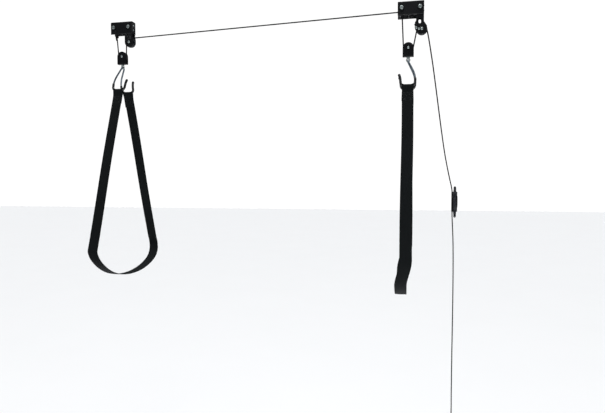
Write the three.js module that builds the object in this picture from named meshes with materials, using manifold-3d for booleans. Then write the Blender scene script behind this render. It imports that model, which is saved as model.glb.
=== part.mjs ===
// Two-point kayak hoist: two joist brackets, two hook blocks on one rope, two webbing slings, a wall cleat.
// Millimetres, +Z up, +X from the left hoist to the right one, +Y into the timber and the wall.
// The origin is the centre of the right bracket's joist face.
import * as THREE from "three";
import { mergeVertices } from "three/addons/utils/BufferGeometryUtils.js";
import Module from "manifold-3d";

const wasm = await Module();
wasm.setup();

// ---- driving dimensions ----
const gap = 0.3; // left between pieces that touch
const bracketSpacing = 1406;
const ropeRadius = 3;
const sheet = 2.5; // steel sheet of the brackets, carriers and blocks
const pinSides = 16;
const wheelSides = 20;

const bracket = { length: 114, height: 60, depth: 36, bend: 4, hem: 2.8 };
const backDrop = { left: 0, right: 8 }; // how far each back plate reaches below its front one
const lagBolt = { spread: 40, z: 2, shank: 4.75, across: 15, head: 6.5, length: 65 };
const washer = { radius: 10.5, thick: 1.6 };
const wheel = { pitch: 21, rim: 24, halfWidth: 6.5, hub: 9, hubHalf: 11.5, webHalf: 4.5, webRim: 15 };
const carrier = { cheekRadius: 22, front: -33, back: -3, top: 24, web: 54.2, webBottom: -28 };
const slot = { x: 38.8, z: -56.5, halfWidth: 5.5, halfStraight: 7 }; // through the right carrier's cheeks
const roller = { x: -47, z: -20, pitch: 9, rim: 10.5, halfWidth: 6, pin: 3 };
const sheave = { pitch: 21, rim: 23, halfWidth: 6 };
const groove = { mouthHalf: 5, floorHalf: 3.4 };
const block = { halfWidth: 24.5, below: 38.5, inner: 14, bend: 3 };
const axleRadius = 4;
const runningFit = 0.5; // between a turning piece's bore and its axle
const rivetHead = 2;

const rod = { radius: 4, sleeve: 5.7, sleeveBore: 4.9, steps: 48, sleeveSteps: 14 };
const hook = { archDrop: 14, archRadius: 12, tilt: 16, drop: 136, shankX: 31, tipX: -32, corner: 20 };
const webbing = { width: 50, thick: 2.4, loop: 13.8, lift: 5.2, seam: 70, offset: -0.5, shift: 22 };
const gunwale = { halfWidth: 280, bend: 100 };

const wallY = 440;
const cleat = {
  x: 229.5,
  z: -867,
  length: 168,
  barWidth: 16,
  base: 6,
  baseHalf: 53,
  screw: 45.5,
  stand: 40,
  bar: 12,
  post: 22,
  postHalf: 8,
};
const tailEnd = -2052; // lower end of the hanging rope tail
const coil = { mean: 54, section: 18 };

const midY = -bracket.depth / 2; // the plane that the rope and both hooks hang in

// One row per hoist. hand is +1 where the hooks' shanks are on the +X side; axleZ is the block's axle.
const hoists = [
  {
    side: "left",
    bracketX: -bracketSpacing,
    x: -bracketSpacing - 5,
    hand: -1,
    axleZ: -138,
    wheelX: 38,
    wheelZ: -70,
    gunwaleZ: -1085,
    keelZ: -1223,
  },
  {
    side: "right",
    bracketX: 0,
    x: -10,
    hand: 1,
    axleZ: -171,
    wheelX: 48,
    wheelZ: -92.5,
    gunwaleZ: -1097,
    keelZ: -1263,
  },
];
const [leftHoist, rightHoist] = hoists;
const anchor = { x: leftHoist.bracketX - 34, z: -20, pin: 4 };
const cam = { x: 22.8, z: -72.4, radius: 5, nose: 9.6, noseAngle: -8, lug: 10, pin: 2.5, halfThick: 3.6 };
// Heights above and below the cam's pivot where the right carrier's cheeks widen round it.
const camBay = { reach: 5.5, roof: 17, shoulder: 7, sill: 9, foot: 19 };

// ---- materials ----
const paint = (color, roughness, metalness) =>
  new THREE.MeshStandardMaterial({ color, roughness, metalness });
const blackSteel = paint(0x0e0e10, 0.5, 0.3);
const zinc = paint(0xb9bec2, 0.3, 1);
const hookWire = paint(0x8d949a, 0.35, 1);
const vinyl = paint(0x0a0b0d, 0.2, 0);
const nylon = paint(0x15181c, 0.35, 0);
const strap = paint(0x12181b, 0.85, 0);
const rope = paint(0x0b0b0c, 0.8, 0);

// ---- solids ----
const radians = THREE.MathUtils.degToRad;

const toSolid = (geometry) => {
  geometry.deleteAttribute("normal");
  geometry.deleteAttribute("uv");
  const merged = mergeVertices(geometry, 1e-3);
  return new wasm.Manifold(
    new wasm.Mesh({
      numProp: 3,
      vertProperties: merged.attributes.position.array,
      triVerts: new Uint32Array(merged.index.array),
    }),
  );
};

const toGeometry = (solid) => {
  const mesh = solid.getMesh();
  const geometry = new THREE.BufferGeometry();
  geometry.setAttribute("position", new THREE.BufferAttribute(mesh.vertProperties, 3));
  geometry.setIndex(new THREE.BufferAttribute(mesh.triVerts, 1));
  return geometry;
};

const join = (...solids) => solids.reduce((all, next) => all.add(next));
const cut = (solid, ...tools) => tools.reduce((rest, tool) => rest.subtract(tool), solid);

const root = new THREE.Group();
const addPiece = (name, solid, material) => {
  const mesh = new THREE.Mesh(toGeometry(solid), material);
  mesh.name = name;
  root.add(mesh);
};

// A box from its lowest to its highest corner.
const box = (low, high) => {
  const size = high.map((value, i) => value - low[i]);
  const centre = high.map((value, i) => (value + low[i]) / 2);
  return toSolid(new THREE.BoxGeometry(...size).translate(...centre));
};

// A cylinder along Y from y0 to y1, centred on x, z.
const pinY = (x, z, radius, y0, y1, sides = pinSides) =>
  toSolid(
    new THREE.CylinderGeometry(radius, radius, y1 - y0, sides).translate(x, (y0 + y1) / 2, z),
  );

// A cylinder along Z from z0 to z1, centred on x, y.
const pinZ = (x, y, radius, z0, z1, sides = pinSides) =>
  toSolid(
    new THREE.CylinderGeometry(radius, radius, z1 - z0, sides)
      .rotateX(Math.PI / 2)
      .translate(x, y, (z0 + z1) / 2),
  );

// A ring or wheel about a Y axis through x, z: the profile is a closed list of [radius, y] pairs.
const turned = (profile, x, y, z, segments = wheelSides) => {
  const points = [...profile, profile[0]].map(([r, along]) => new THREE.Vector2(r, along));
  return toSolid(new THREE.LatheGeometry(points, segments).translate(x, y, z));
};

// An outline in the XZ plane, made solid between y0 and y1.
const plateXZ = (shape, y0, y1, curveSegments = 8) => {
  const geometry = new THREE.ExtrudeGeometry(shape, {
    depth: y1 - y0,
    bevelEnabled: false,
    curveSegments,
  });
  const basis = new THREE.Matrix4().makeBasis(
    new THREE.Vector3(1, 0, 0),
    new THREE.Vector3(0, 0, 1),
    new THREE.Vector3(0, -1, 0),
  );
  return toSolid(geometry.applyMatrix4(basis).translate(0, y1, 0));
};

// An outline in the YZ plane, made solid between x0 and x1.
const plateYZ = (shape, x0, x1, curveSegments = 4) => {
  const geometry = new THREE.ExtrudeGeometry(shape, {
    depth: x1 - x0,
    bevelEnabled: false,
    curveSegments,
  });
  const basis = new THREE.Matrix4().makeBasis(
    new THREE.Vector3(0, 1, 0),
    new THREE.Vector3(0, 0, 1),
    new THREE.Vector3(1, 0, 0),
  );
  return toSolid(geometry.applyMatrix4(basis).translate(x0, 0, 0));
};

const polygon = (radius, sides) => {
  const shape = new THREE.Shape();
  for (let i = 0; i < sides; i++) {
    const angle = (2 * Math.PI * i) / sides;
    const place = [radius * Math.cos(angle), radius * Math.sin(angle)];
    if (i === 0) shape.moveTo(...place);
    else shape.lineTo(...place);
  }
  shape.closePath();
  return shape;
};

// A straight-sided path through points, which a tube follows at equal steps.
const pathThrough = (points) => {
  const path = new THREE.CurvePath();
  for (let i = 1; i < points.length; i++) {
    path.add(new THREE.LineCurve3(points[i - 1], points[i]));
  }
  return path;
};

const tube = (path, radius, steps, sides = 8, boreRadius = 0) => {
  const section = polygon(radius, sides);
  if (boreRadius) section.holes.push(polygon(boreRadius, sides));
  return toSolid(new THREE.ExtrudeGeometry(section, { steps, extrudePath: path }));
};

// ---- brackets ----
// A saddle of folded sheet, open below and at its ends, with a rolled hem along its front edge.
const bracketProfile = (hoist) => {
  const { height, depth, bend, hem } = bracket;
  const top = height / 2;
  const bottom = -top;
  const inner = bend - sheet;
  const shape = new THREE.Shape();
  const backBottom = bottom - backDrop[hoist.side];
  shape.moveTo(0, backBottom);
  shape.lineTo(0, top - bend);
  shape.absarc(-bend, top - bend, bend, 0, Math.PI / 2, false);
  shape.lineTo(-depth + bend, top);
  shape.absarc(-depth + bend, top - bend, bend, Math.PI / 2, Math.PI, false);
  shape.lineTo(-depth, bottom + hem);
  shape.absarc(-depth + sheet / 2, bottom + hem / 2, hem / 1.6, Math.PI * 0.75, Math.PI * 2.25, false);
  shape.lineTo(-depth + sheet, top - bend);
  shape.absarc(-depth + bend, top - bend, inner, Math.PI, Math.PI / 2, true);
  shape.lineTo(-bend, top - sheet);
  shape.absarc(-bend, top - bend, inner, Math.PI / 2, 0, true);
  shape.lineTo(-sheet, backBottom);
  shape.closePath();
  return shape;
};

const boltHole = (x) => pinY(x, lagBolt.z, lagBolt.shank + 2 * gap, -bracket.depth - 5, 5);

const makeBracket = (hoist) => {
  const half = bracket.length / 2;
  let body = plateYZ(bracketProfile(hoist), hoist.bracketX - half, hoist.bracketX + half);
  body = cut(
    body,
    boltHole(hoist.bracketX - lagBolt.spread),
    boltHole(hoist.bracketX + lagBolt.spread),
  );
  const pin = hoist === leftHoist ? anchor : roller;
  body = cut(body, pinY(pin.x, pin.z, pin.pin + gap, -bracket.depth - 5, 5));
  addPiece(`bracket_${hoist.side}`, body, blackSteel);
};

// A hex lag bolt and its washer, through the bracket into the timber behind it.
const makeLagBolt = (hoist, end, x) => {
  const face = -bracket.depth - gap;
  const headFront = face - washer.thick - lagBolt.head;
  const hexRadius = lagBolt.across / Math.sqrt(3);
  const pointLength = 12;
  const tip = headFront + lagBolt.head + lagBolt.length;
  const point = toSolid(
    new THREE.CylinderGeometry(0.8, lagBolt.shank, pointLength, pinSides).translate(
      x,
      tip - pointLength / 2,
      lagBolt.z,
    ),
  );
  const bolt = join(
    pinY(x, lagBolt.z, hexRadius, headFront, face - washer.thick + 0.1, 6),
    pinY(x, lagBolt.z, washer.radius, face - washer.thick, face, wheelSides),
    pinY(x, lagBolt.z, lagBolt.shank, face - 0.1, tip - pointLength + 0.01),
    point,
  );
  addPiece(`lag_bolt_${hoist.side}_${end}`, bolt, zinc);
};

// ---- wheel carriers ----
// Two cheeks joined by an end web, hung in the bracket by its outer lag bolt.
const carrierShape = (hoist) => {
  const r = carrier.cheekRadius;
  const left = hoist.wheelX - r;
  const right = hoist.wheelX + r;
  const neck = hoist === rightHoist ? cam.x : left;
  const shape = new THREE.Shape();
  shape.moveTo(neck, carrier.top);
  if (hoist === rightHoist) {
    shape.lineTo(neck, cam.z + camBay.roof);
    shape.lineTo(cam.x - camBay.reach, cam.z + camBay.shoulder);
    shape.lineTo(cam.x - camBay.reach, cam.z - camBay.sill);
    shape.lineTo(left, cam.z - camBay.foot);
  }
  shape.absarc(hoist.wheelX, hoist.wheelZ, r, Math.PI, 2 * Math.PI, false);
  shape.lineTo(right, hoist.wheelZ + 12);
  shape.lineTo(carrier.web + sheet, hoist.wheelZ + 32);
  shape.lineTo(carrier.web + sheet, carrier.top);
  shape.closePath();
  return shape;
};

// The oval slot through the right carrier's cheeks, above its wheel.
const slotTool = () => {
  const { x, z, halfWidth, halfStraight } = slot;
  const shape = new THREE.Shape();
  shape.absarc(x, z + halfStraight, halfWidth, 0, Math.PI, false);
  shape.absarc(x, z - halfStraight, halfWidth, Math.PI, 2 * Math.PI, false);
  shape.closePath();
  return plateXZ(shape, carrier.front - 5, carrier.back + 5);
};

const makeCarrier = (hoist) => {
  const { front, back, web, webBottom } = carrier;
  const inFront = front + sheet;
  const inBack = back - sheet;
  let body = plateXZ(carrierShape(hoist), front, back, 10);
  body = cut(
    body,
    box([-100, inFront, -200], [web, inBack, 100]),
    box([-100, inFront, -200], [100, inBack, webBottom]),
    boltHole(lagBolt.spread),
    pinY(hoist.wheelX, hoist.wheelZ, axleRadius + gap, front - 5, back + 5),
  );
  if (hoist === rightHoist) {
    body = cut(body, slotTool(), pinY(cam.x, cam.z, cam.pin + gap, front - 5, back + 5));
  }
  addPiece(`carrier_${hoist.side}`, body.translate([hoist.bracketX, 0, 0]), blackSteel);
};

// ---- wheels, axles and the rope lock ----
// A grooved rim: half of its profile, from a radius inside it to the groove's floor, as [radius, half width].
const rimHalf = (from, { rim, halfWidth, pitch }) => [
  [from, halfWidth],
  [rim, halfWidth],
  [rim, groove.mouthHalf],
  [pitch - ropeRadius - gap, groove.floorHalf],
];

// A wheel about a Y axis from half of its profile, the other half being its mirror.
const turnedBothSides = (half, x, z) => {
  const profile = [...half.map(([r, y]) => [r, -y]), ...[...half].reverse()];
  return turned(profile, x, midY, z);
};

const makeWheel = (hoist) => {
  const { hub, hubHalf, webHalf, webRim } = wheel;
  const half = [
    [axleRadius + runningFit, hubHalf],
    [hub, hubHalf],
    [hub, webHalf],
    [webRim, webHalf],
    ...rimHalf(webRim + 1.5, wheel),
  ];
  const body = turnedBothSides(half, hoist.bracketX + hoist.wheelX, hoist.wheelZ);
  addPiece(`wheel_${hoist.side}`, body, nylon);
};

// A plain pin up to its back end, with a low round head outside the front plate.
const headedPin = (x, z, radius, headRadius, front, back) =>
  join(
    pinY(x, z, radius, front - gap - 0.1, back),
    pinY(x, z, headRadius, front - gap - rivetHead, front - gap),
  );

// The same pin with a second head outside the back plate.
const rivetedAxle = (x, z, radius, headRadius, front, back) =>
  join(
    headedPin(x, z, radius, headRadius, front, back + gap + 0.1),
    pinY(x, z, headRadius, back + gap, back + gap + rivetHead),
  );

const makeWheelAxle = (hoist) => {
  const x = hoist.bracketX + hoist.wheelX;
  const axle = rivetedAxle(x, hoist.wheelZ, axleRadius, 6, carrier.front, carrier.back);
  addPiece(`wheel_axle_${hoist.side}`, axle, zinc);
};

const makeGuideRoller = () => {
  const { x, z, pin } = roller;
  addPiece("guide_roller", turnedBothSides(rimHalf(pin + runningFit, roller), x, z), nylon);
  addPiece("guide_pin", headedPin(x, z, pin, 5, -bracket.depth, -gap), blackSteel);
};

// The toothed cam that grips the rope against the right wheel, with its release lug.
const makeLockCam = () => {
  const { x, z, radius, nose, noseAngle, lug } = cam;
  const shape = new THREE.Shape();
  const polar = (r, degrees) => [
    x + r * Math.cos(radians(degrees)),
    z + r * Math.sin(radians(degrees)),
  ];
  shape.moveTo(...polar(radius, -75));
  const teeth = 4;
  for (let i = 0; i < teeth; i++) {
    const degrees = noseAngle - 30 + i * 10;
    const reach = nose - 1.6 + i * 0.4;
    shape.lineTo(...polar(reach - 0.9, degrees - 5));
    shape.lineTo(...polar(reach, degrees));
  }
  shape.lineTo(...polar(radius + 1, 35));
  shape.lineTo(...polar(radius, 90));
  shape.lineTo(...polar(lug, 140));
  shape.lineTo(...polar(lug, 158));
  for (let degrees = 195; degrees <= 265; degrees += 14) {
    shape.lineTo(...polar(radius, degrees));
  }
  shape.closePath();
  const body = cut(
    plateXZ(shape, midY - cam.halfThick, midY + cam.halfThick),
    pinY(x, z, cam.pin + runningFit, midY - 20, midY + 20),
  );
  addPiece("lock_cam", body, zinc);
  const pin = rivetedAxle(x, z, cam.pin, 4.2, carrier.front, carrier.back);
  addPiece("lock_cam_pin", pin, zinc);
};

// ---- hook blocks ----
const blockProfile = () => {
  const outer = block.inner / 2 + sheet;
  const inner = block.inner / 2;
  const bottom = -block.below;
  const top = 40;
  const shape = new THREE.Shape();
  shape.moveTo(-outer, top);
  shape.lineTo(-outer, bottom + block.bend);
  shape.absarc(-outer + block.bend, bottom + block.bend, block.bend, Math.PI, 1.5 * Math.PI, false);
  shape.absarc(outer - block.bend, bottom + block.bend, block.bend, 1.5 * Math.PI, 2 * Math.PI, false);
  shape.lineTo(outer, top);
  shape.lineTo(inner, top);
  shape.lineTo(inner, bottom + sheet);
  shape.lineTo(-inner, bottom + sheet);
  shape.lineTo(-inner, top);
  shape.closePath();
  return shape;
};

const makeBlock = (hoist) => {
  const { halfWidth, below } = block;
  const outline = new THREE.Shape();
  outline.moveTo(-halfWidth, -below - 1);
  outline.lineTo(halfWidth, -below - 1);
  outline.absarc(0, 0, halfWidth, 0, Math.PI, false);
  outline.closePath();
  const folded = plateYZ(blockProfile(), -halfWidth - 1, halfWidth + 1);
  const body = cut(
    folded.intersect(plateXZ(outline, -30, 30, 10)),
    pinY(0, 0, axleRadius + gap, -30, 30),
    pinZ(0, 0, axleRadius + gap, -below - 5, -below + 5),
  );
  addPiece(`block_${hoist.side}`, body.translate([hoist.x, midY, hoist.axleZ]), blackSteel);
};

const makeSheave = (hoist) => {
  const half = rimHalf(axleRadius + runningFit, sheave);
  addPiece(`sheave_${hoist.side}`, turnedBothSides(half, hoist.x, hoist.axleZ), nylon);
  const cheek = block.inner / 2 + sheet;
  const axle = rivetedAxle(hoist.x, hoist.axleZ, axleRadius, 5.2, midY - cheek, midY + cheek);
  addPiece(`sheave_axle_${hoist.side}`, axle, zinc);
};

// The turning eye under a block: a head inside the fold, a nut below it, and a flat eye for the hook.
const makeSwivel = (hoist) => {
  const floor = -block.below;
  const eyeZ = floor - hook.archDrop;
  const eyeHole = 5.5;
  const eyeRim = 9.5;
  const halfThick = 2.5;
  const profile = [
    [eyeHole, -halfThick],
    [eyeRim, -halfThick],
    [eyeRim, halfThick],
    [eyeHole, halfThick],
  ];
  const nutBottom = eyeZ + 7.5;
  const body = join(
    pinZ(0, 0, 6, floor + sheet + gap, floor + sheet + 4),
    pinZ(0, 0, axleRadius, nutBottom + 1, floor + sheet + 2),
    pinZ(0, 0, 7.5, nutBottom, floor - gap, 6),
    turned(profile, 0, 0, eyeZ, 20),
  );
  addPiece(`swivel_${hoist.side}`, body.translate([hoist.x, midY, hoist.axleZ]), zinc);
};

// ---- double-J hooks ----
const archSweep = 90 - hook.tilt; // degrees of arch between its top and a straight arm
const armStart = {
  y: hook.archRadius * Math.sin(radians(archSweep)),
  depth: hook.archRadius * (1 - Math.cos(radians(archSweep))),
};
const hookDepth = hook.drop - hook.archDrop;
// How far a straight arm stands from the middle plane at a depth below the arch's top.
const armY = (depth) => armStart.y + (depth - armStart.depth) * Math.tan(radians(hook.tilt));

// Half of the bent rod, from the arch's top to the tip, as [x, y, z] from the arch's top, for hand +1.
const hookHalf = () => {
  const { archRadius, shankX, tipX, corner } = hook;
  const points = [];
  for (let i = 0; i < 4; i++) {
    const angle = radians((archSweep * i) / 4);
    points.push([0, archRadius * Math.sin(angle), archRadius * (Math.cos(angle) - 1)]);
  }
  const onArm = (x, depth) => [x, armY(depth), -depth];
  const bends = [
    [0.8, armStart.depth],
    [7, 21],
    [15.5, 38],
    [23.5, 55],
    [28.5, 71],
    [shankX, 85],
  ];
  for (let degrees = 0; degrees <= 90; degrees += 22.5) {
    const across = shankX - corner + corner * Math.cos(radians(degrees));
    bends.push([across, hookDepth - corner + corner * Math.sin(radians(degrees))]);
  }
  for (let degrees = 0; degrees <= 90; degrees += 22.5) {
    const across = tipX + corner - corner * Math.sin(radians(degrees));
    bends.push([across, hookDepth - corner + corner * Math.cos(radians(degrees))]);
  }
  bends.push([tipX - 1, hookDepth - 33], [tipX - 3, hookDepth - 43], [tipX - 6, hookDepth - 52]);
  return [...points, ...bends.map(([x, depth]) => onArm(x, depth))];
};

const archTop = (hoist) => hoist.axleZ - block.below - hook.archDrop;

const hookStations = (hoist) => {
  const half = hookHalf();
  const place = ([x, y, z], face) =>
    new THREE.Vector3(hoist.x + hoist.hand * x, midY + face * y, archTop(hoist) + z);
  const front = half.slice(1).reverse().map((point) => place(point, -1));
  const back = half.map((point) => place(point, 1));
  const curve = new THREE.CatmullRomCurve3([...front, ...back], false, "centripetal");
  return curve.getSpacedPoints(rod.steps);
};

const makeHook = (hoist) => {
  const stations = hookStations(hoist);
  const body = tube(pathThrough(stations), rod.radius, rod.steps);
  addPiece(`hook_${hoist.side}`, body, hookWire);
  const steps = rod.sleeveSteps;
  const ends = { front: stations.slice(0, steps + 1), back: stations.slice(-steps - 1) };
  for (const [face, points] of Object.entries(ends)) {
    const sleeve = tube(pathThrough(points), rod.sleeve, steps, 8, rod.sleeveBore);
    addPiece(`hook_sleeve_${hoist.side}_${face}`, sleeve, vinyl);
  }
};

// ---- webbing slings ----
// A ribbon of webbing across X that follows [y, z] points.
const ribbon = (points, thick, x0, x1) => {
  const along = points.map(([y, z]) => new THREE.Vector2(y, z));
  const side = (sign) =>
    along.map((point, i) => {
      const before = along[Math.max(i - 1, 0)];
      const after = along[Math.min(i + 1, along.length - 1)];
      const run = after.clone().sub(before).normalize();
      return new THREE.Vector2(point.x - (sign * run.y * thick) / 2, point.y + (sign * run.x * thick) / 2);
    });
  const outline = [...side(1), ...side(-1).reverse()];
  if (THREE.ShapeUtils.isClockWise(outline)) outline.reverse();
  return plateYZ(new THREE.Shape(outline), x0, x1);
};

// The hook's low point and the leg's direction from there to the gunwale, in the YZ plane.
const slingPlan = (hoist) => {
  const barY = armY(hookDepth);
  const barZ = archTop(hoist) - hookDepth;
  const leg = new THREE.Vector2(gunwale.halfWidth - barY, hoist.gunwaleZ - barZ).normalize();
  return { barY, barZ, leg };
};

const makeSling = (hoist) => {
  const { barY, barZ, leg } = slingPlan(hoist);
  const centreX = hoist.x + hoist.hand * webbing.offset;
  const x0 = centreX - webbing.width / 2;
  const x1 = centreX + webbing.width / 2;
  const along = (distance) => [barY + leg.x * distance, barZ + leg.y * distance];
  const [ringY, ringZ] = along(-webbing.lift);
  const ring = [];
  for (let degrees = 0; degrees <= 360; degrees += 24) {
    const angle = radians(degrees);
    ring.push([ringY + webbing.loop * Math.sin(angle), ringZ + webbing.loop * Math.cos(angle)]);
  }
  const keelDepth = hoist.gunwaleZ - hoist.keelZ;
  const start = webbing.loop - webbing.lift - 0.4;
  const halfLeg = 360;
  const cradle = [along(start), along(webbing.seam), along(halfLeg)];
  for (let degrees = 0; degrees <= 180; degrees += 10) {
    const angle = radians(degrees);
    cradle.push([
      gunwale.halfWidth * Math.cos(angle),
      hoist.gunwaleZ - keelDepth * Math.sin(angle),
    ]);
  }
  const mirrored = ([y, z]) => [-y, z];
  cradle.push(mirrored(along(halfLeg)), mirrored(along(webbing.seam)), mirrored(along(start)));
  const seam = [along(start), along(webbing.seam)];
  const inPlace = (points) => points.map(([y, z]) => [y + midY, z]);
  const body = join(
    ribbon(inPlace(cradle), webbing.thick, x0, x1),
    ribbon(inPlace(ring), webbing.thick, x0, x1),
    ribbon(inPlace(ring.map(mirrored)), webbing.thick, x0, x1),
    ribbon(inPlace(seam), 2 * webbing.thick, x0, x1),
    ribbon(inPlace(seam.map(mirrored)), 2 * webbing.thick, x0, x1),
  );
  // Under the hull the strap leans towards the middle of the boat.
  const geometry = toGeometry(body);
  const position = geometry.attributes.position;
  for (let i = 0; i < position.count; i++) {
    const below = (hoist.gunwaleZ - position.getZ(i)) / gunwale.bend;
    const lean = THREE.MathUtils.smoothstep(below, -0.2, 1);
    position.setX(i, position.getX(i) - hoist.hand * webbing.shift * lean);
  }
  const mesh = new THREE.Mesh(geometry, strap);
  mesh.name = `sling_${hoist.side}`;
  root.add(mesh);
};

// ---- wall cleat ----
// The horned bar, its two posts and its foot, seen from the side; the lower half mirrors the upper.
const cleatOutline = () => {
  const half = cleat.length / 2;
  const front = wallY - cleat.stand;
  const barBack = front + cleat.bar;
  const baseFront = wallY - cleat.base;
  const postEdge = cleat.post + cleat.postHalf;
  const outline = new THREE.Shape();
  outline.moveTo(wallY, -cleat.baseHalf);
  outline.lineTo(wallY, cleat.baseHalf);
  outline.lineTo(baseFront, cleat.baseHalf);
  outline.lineTo(baseFront, postEdge);
  outline.lineTo(barBack + 3, postEdge);
  outline.quadraticCurveTo(barBack, postEdge + 2, barBack - 1, postEdge + 8);
  outline.quadraticCurveTo(barBack - 4, half - 20, barBack - 9, half - 2);
  outline.quadraticCurveTo(front - 1, half + 1, front - 2, half - 6);
  outline.quadraticCurveTo(front + 1, half - 30, front, 0);
  outline.quadraticCurveTo(front + 1, -half + 30, front - 2, -half + 6);
  outline.quadraticCurveTo(front - 1, -half - 1, barBack - 9, -half + 2);
  outline.quadraticCurveTo(barBack - 4, -half + 20, barBack - 1, -postEdge - 8);
  outline.quadraticCurveTo(barBack, -postEdge - 2, barBack + 3, -postEdge);
  outline.lineTo(baseFront, -postEdge);
  outline.lineTo(baseFront, -cleat.baseHalf);
  outline.closePath();
  const inner = cleat.post - cleat.postHalf + 2;
  const hole = new THREE.Path();
  hole.moveTo(baseFront, -inner);
  hole.lineTo(barBack, -inner);
  hole.lineTo(barBack, inner);
  hole.lineTo(baseFront, inner);
  hole.closePath();
  outline.holes.push(hole);
  return outline;
};

const makeCleat = () => {
  const halfBar = cleat.barWidth / 2;
  const baseFront = wallY - cleat.base;
  const spine = plateYZ(cleatOutline(), -halfBar, halfBar, 6);
  const foot = box([-15, baseFront, -cleat.baseHalf], [15, wallY, cleat.baseHalf]);
  const screwHoles = [-1, 1].map((end) => pinY(0, end * cleat.screw, 3, baseFront - 5, wallY + 5, 16));
  const body = cut(spine.add(foot), ...screwHoles);
  addPiece("cleat", body.translate([cleat.x, 0, cleat.z]), nylon);
  [-1, 1].forEach((end) => {
    const name = end < 0 ? "cleat_screw_lower" : "cleat_screw_upper";
    const z = cleat.z + end * cleat.screw;
    const screw = join(
      pinY(cleat.x, z, 4.6, baseFront - gap - 2.4, baseFront - gap, 20),
      pinY(cleat.x, z, 2.6, baseFront - gap - 0.1, wallY + 28, 16),
    );
    addPiece(name, screw, zinc);
  });
};

// Two turns of rope round the cleat's posts, from the back to the front, both ends on its -X side.
const wrapStations = () => {
  const turns = 2;
  const stepsPerTurn = 24;
  const backY = wallY - cleat.base - ropeRadius - gap;
  const advance = 7.3;
  const halfX = cleat.barWidth / 2 + ropeRadius + 1.5;
  const halfZ = cleat.post + cleat.postHalf + ropeRadius + 3.5;
  const cornering = 0.4;
  const points = [];
  for (let i = 0; i <= turns * stepsPerTurn; i++) {
    const turn = i / stepsPerTurn;
    const angle = Math.PI + 2 * Math.PI * turn;
    const squash = (value) => Math.sign(value) * Math.abs(value) ** cornering;
    points.push(
      new THREE.Vector3(
        cleat.x + halfX * squash(Math.cos(angle)),
        backY - advance * turn,
        cleat.z + halfZ * squash(Math.sin(angle)),
      ),
    );
  }
  return points;
};

// ---- rope ----
// The straight run between two wheels in the XZ plane. A turn of +1 passes over its wheel from left to
// right, -1 passes under it, and a pitch of 0 is a plain point.
const runBetween = (a, b) => {
  const span = new THREE.Vector2(b.x - a.x, b.z - a.z);
  const lean = Math.asin((b.turn * b.pitch - a.turn * a.pitch) / span.length());
  const along = Math.atan2(span.y, span.x) + lean;
  const normal = new THREE.Vector2(-Math.sin(along), Math.cos(along));
  const touch = (end) =>
    new THREE.Vector3(
      end.x + normal.x * end.turn * end.pitch,
      midY,
      end.z + normal.y * end.turn * end.pitch,
    );
  return { from: touch(a), to: touch(b) };
};

const knotBottom = anchor.z - 26;
const ropeWheels = [
  { x: anchor.x, z: knotBottom, pitch: 0, turn: 1 },
  { x: leftHoist.x, z: leftHoist.axleZ, pitch: sheave.pitch, turn: -1 },
  { x: leftHoist.bracketX + leftHoist.wheelX, z: leftHoist.wheelZ, pitch: wheel.pitch, turn: 1 },
  { x: roller.x, z: roller.z, pitch: roller.pitch, turn: 1 },
  { x: rightHoist.x, z: rightHoist.axleZ, pitch: sheave.pitch, turn: -1 },
  { x: rightHoist.wheelX, z: rightHoist.wheelZ, pitch: wheel.pitch, turn: 1 },
];
const runs = ropeWheels.slice(1).map((end, i) => runBetween(ropeWheels[i], end));

// Points round a wheel from one touching point to the next, in the way that the rope turns.
const aroundWheel = (end, from, to, steps) => {
  const angleOf = (point) => Math.atan2(point.z - end.z, point.x - end.x);
  const start = angleOf(from);
  let sweep = angleOf(to) - start;
  if (end.turn > 0 && sweep > 0) sweep -= 2 * Math.PI;
  if (end.turn < 0 && sweep < 0) sweep += 2 * Math.PI;
  const points = [];
  for (let i = 0; i <= steps; i++) {
    const angle = start + (sweep * i) / steps;
    const x = end.x + end.pitch * Math.cos(angle);
    points.push(new THREE.Vector3(x, midY, end.z + end.pitch * Math.sin(angle)));
  }
  return points;
};

const shortened = (from, to, startTrim, endTrim) => {
  const run = to.clone().sub(from).normalize();
  return [from.clone().addScaledVector(run, startTrim), to.clone().addScaledVector(run, -endTrim)];
};

const makeFall = (name, run) => {
  const [from, to] = shortened(run.from, run.to, gap / 2, gap / 2);
  addPiece(name, tube(new THREE.LineCurve3(from, to), ropeRadius, 1), rope);
};

// A tube with one ring of corners at each station, square to the route there.
const ropeThrough = (name, stations) => {
  const spans = stations.length - 1;
  const direction = (i) => stations[i + 1].clone().sub(stations[i]).normalize();
  const atEnd = (near, next) => near.multiplyScalar(1.5).addScaledVector(next, -0.5).normalize();
  const tangent = (i) => {
    if (i === 0) return atEnd(direction(0), direction(1));
    if (i === spans) return atEnd(direction(spans - 1), direction(spans - 2));
    return direction(i - 1).add(direction(i)).normalize();
  };
  const path = pathThrough(stations);
  path.getSpacedPoints = () => stations;
  path.getTangentAt = (u) => tangent(Math.round(u * spans));
  addPiece(name, tube(path, ropeRadius, spans), rope);
};

const makeFallsAndBights = () => {
  makeFall("fall_left_anchor", runs[0]);
  makeFall("fall_left_wheel", runs[1]);
  makeFall("fall_right_guide", runs[3]);
  makeFall("fall_right_wheel", runs[4]);
  ropeThrough("bight_left", aroundWheel(ropeWheels[1], runs[0].to, runs[1].from, 9));
  ropeThrough("bight_right", aroundWheel(ropeWheels[4], runs[3].to, runs[4].from, 9));
};

// The run from the left wheel to the guide roller in the right bracket.
const makeCrossRun = () => {
  const over = aroundWheel(ropeWheels[2], runs[1].to, runs[2].from, 8);
  const down = aroundWheel(ropeWheels[3], runs[2].to, runs[3].from, 8);
  const span = new THREE.LineCurve3(runs[2].from, runs[2].to).getSpacedPoints(12);
  ropeThrough("cross_rope", [...over, ...span.slice(1, -1), ...down]);
};

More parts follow.
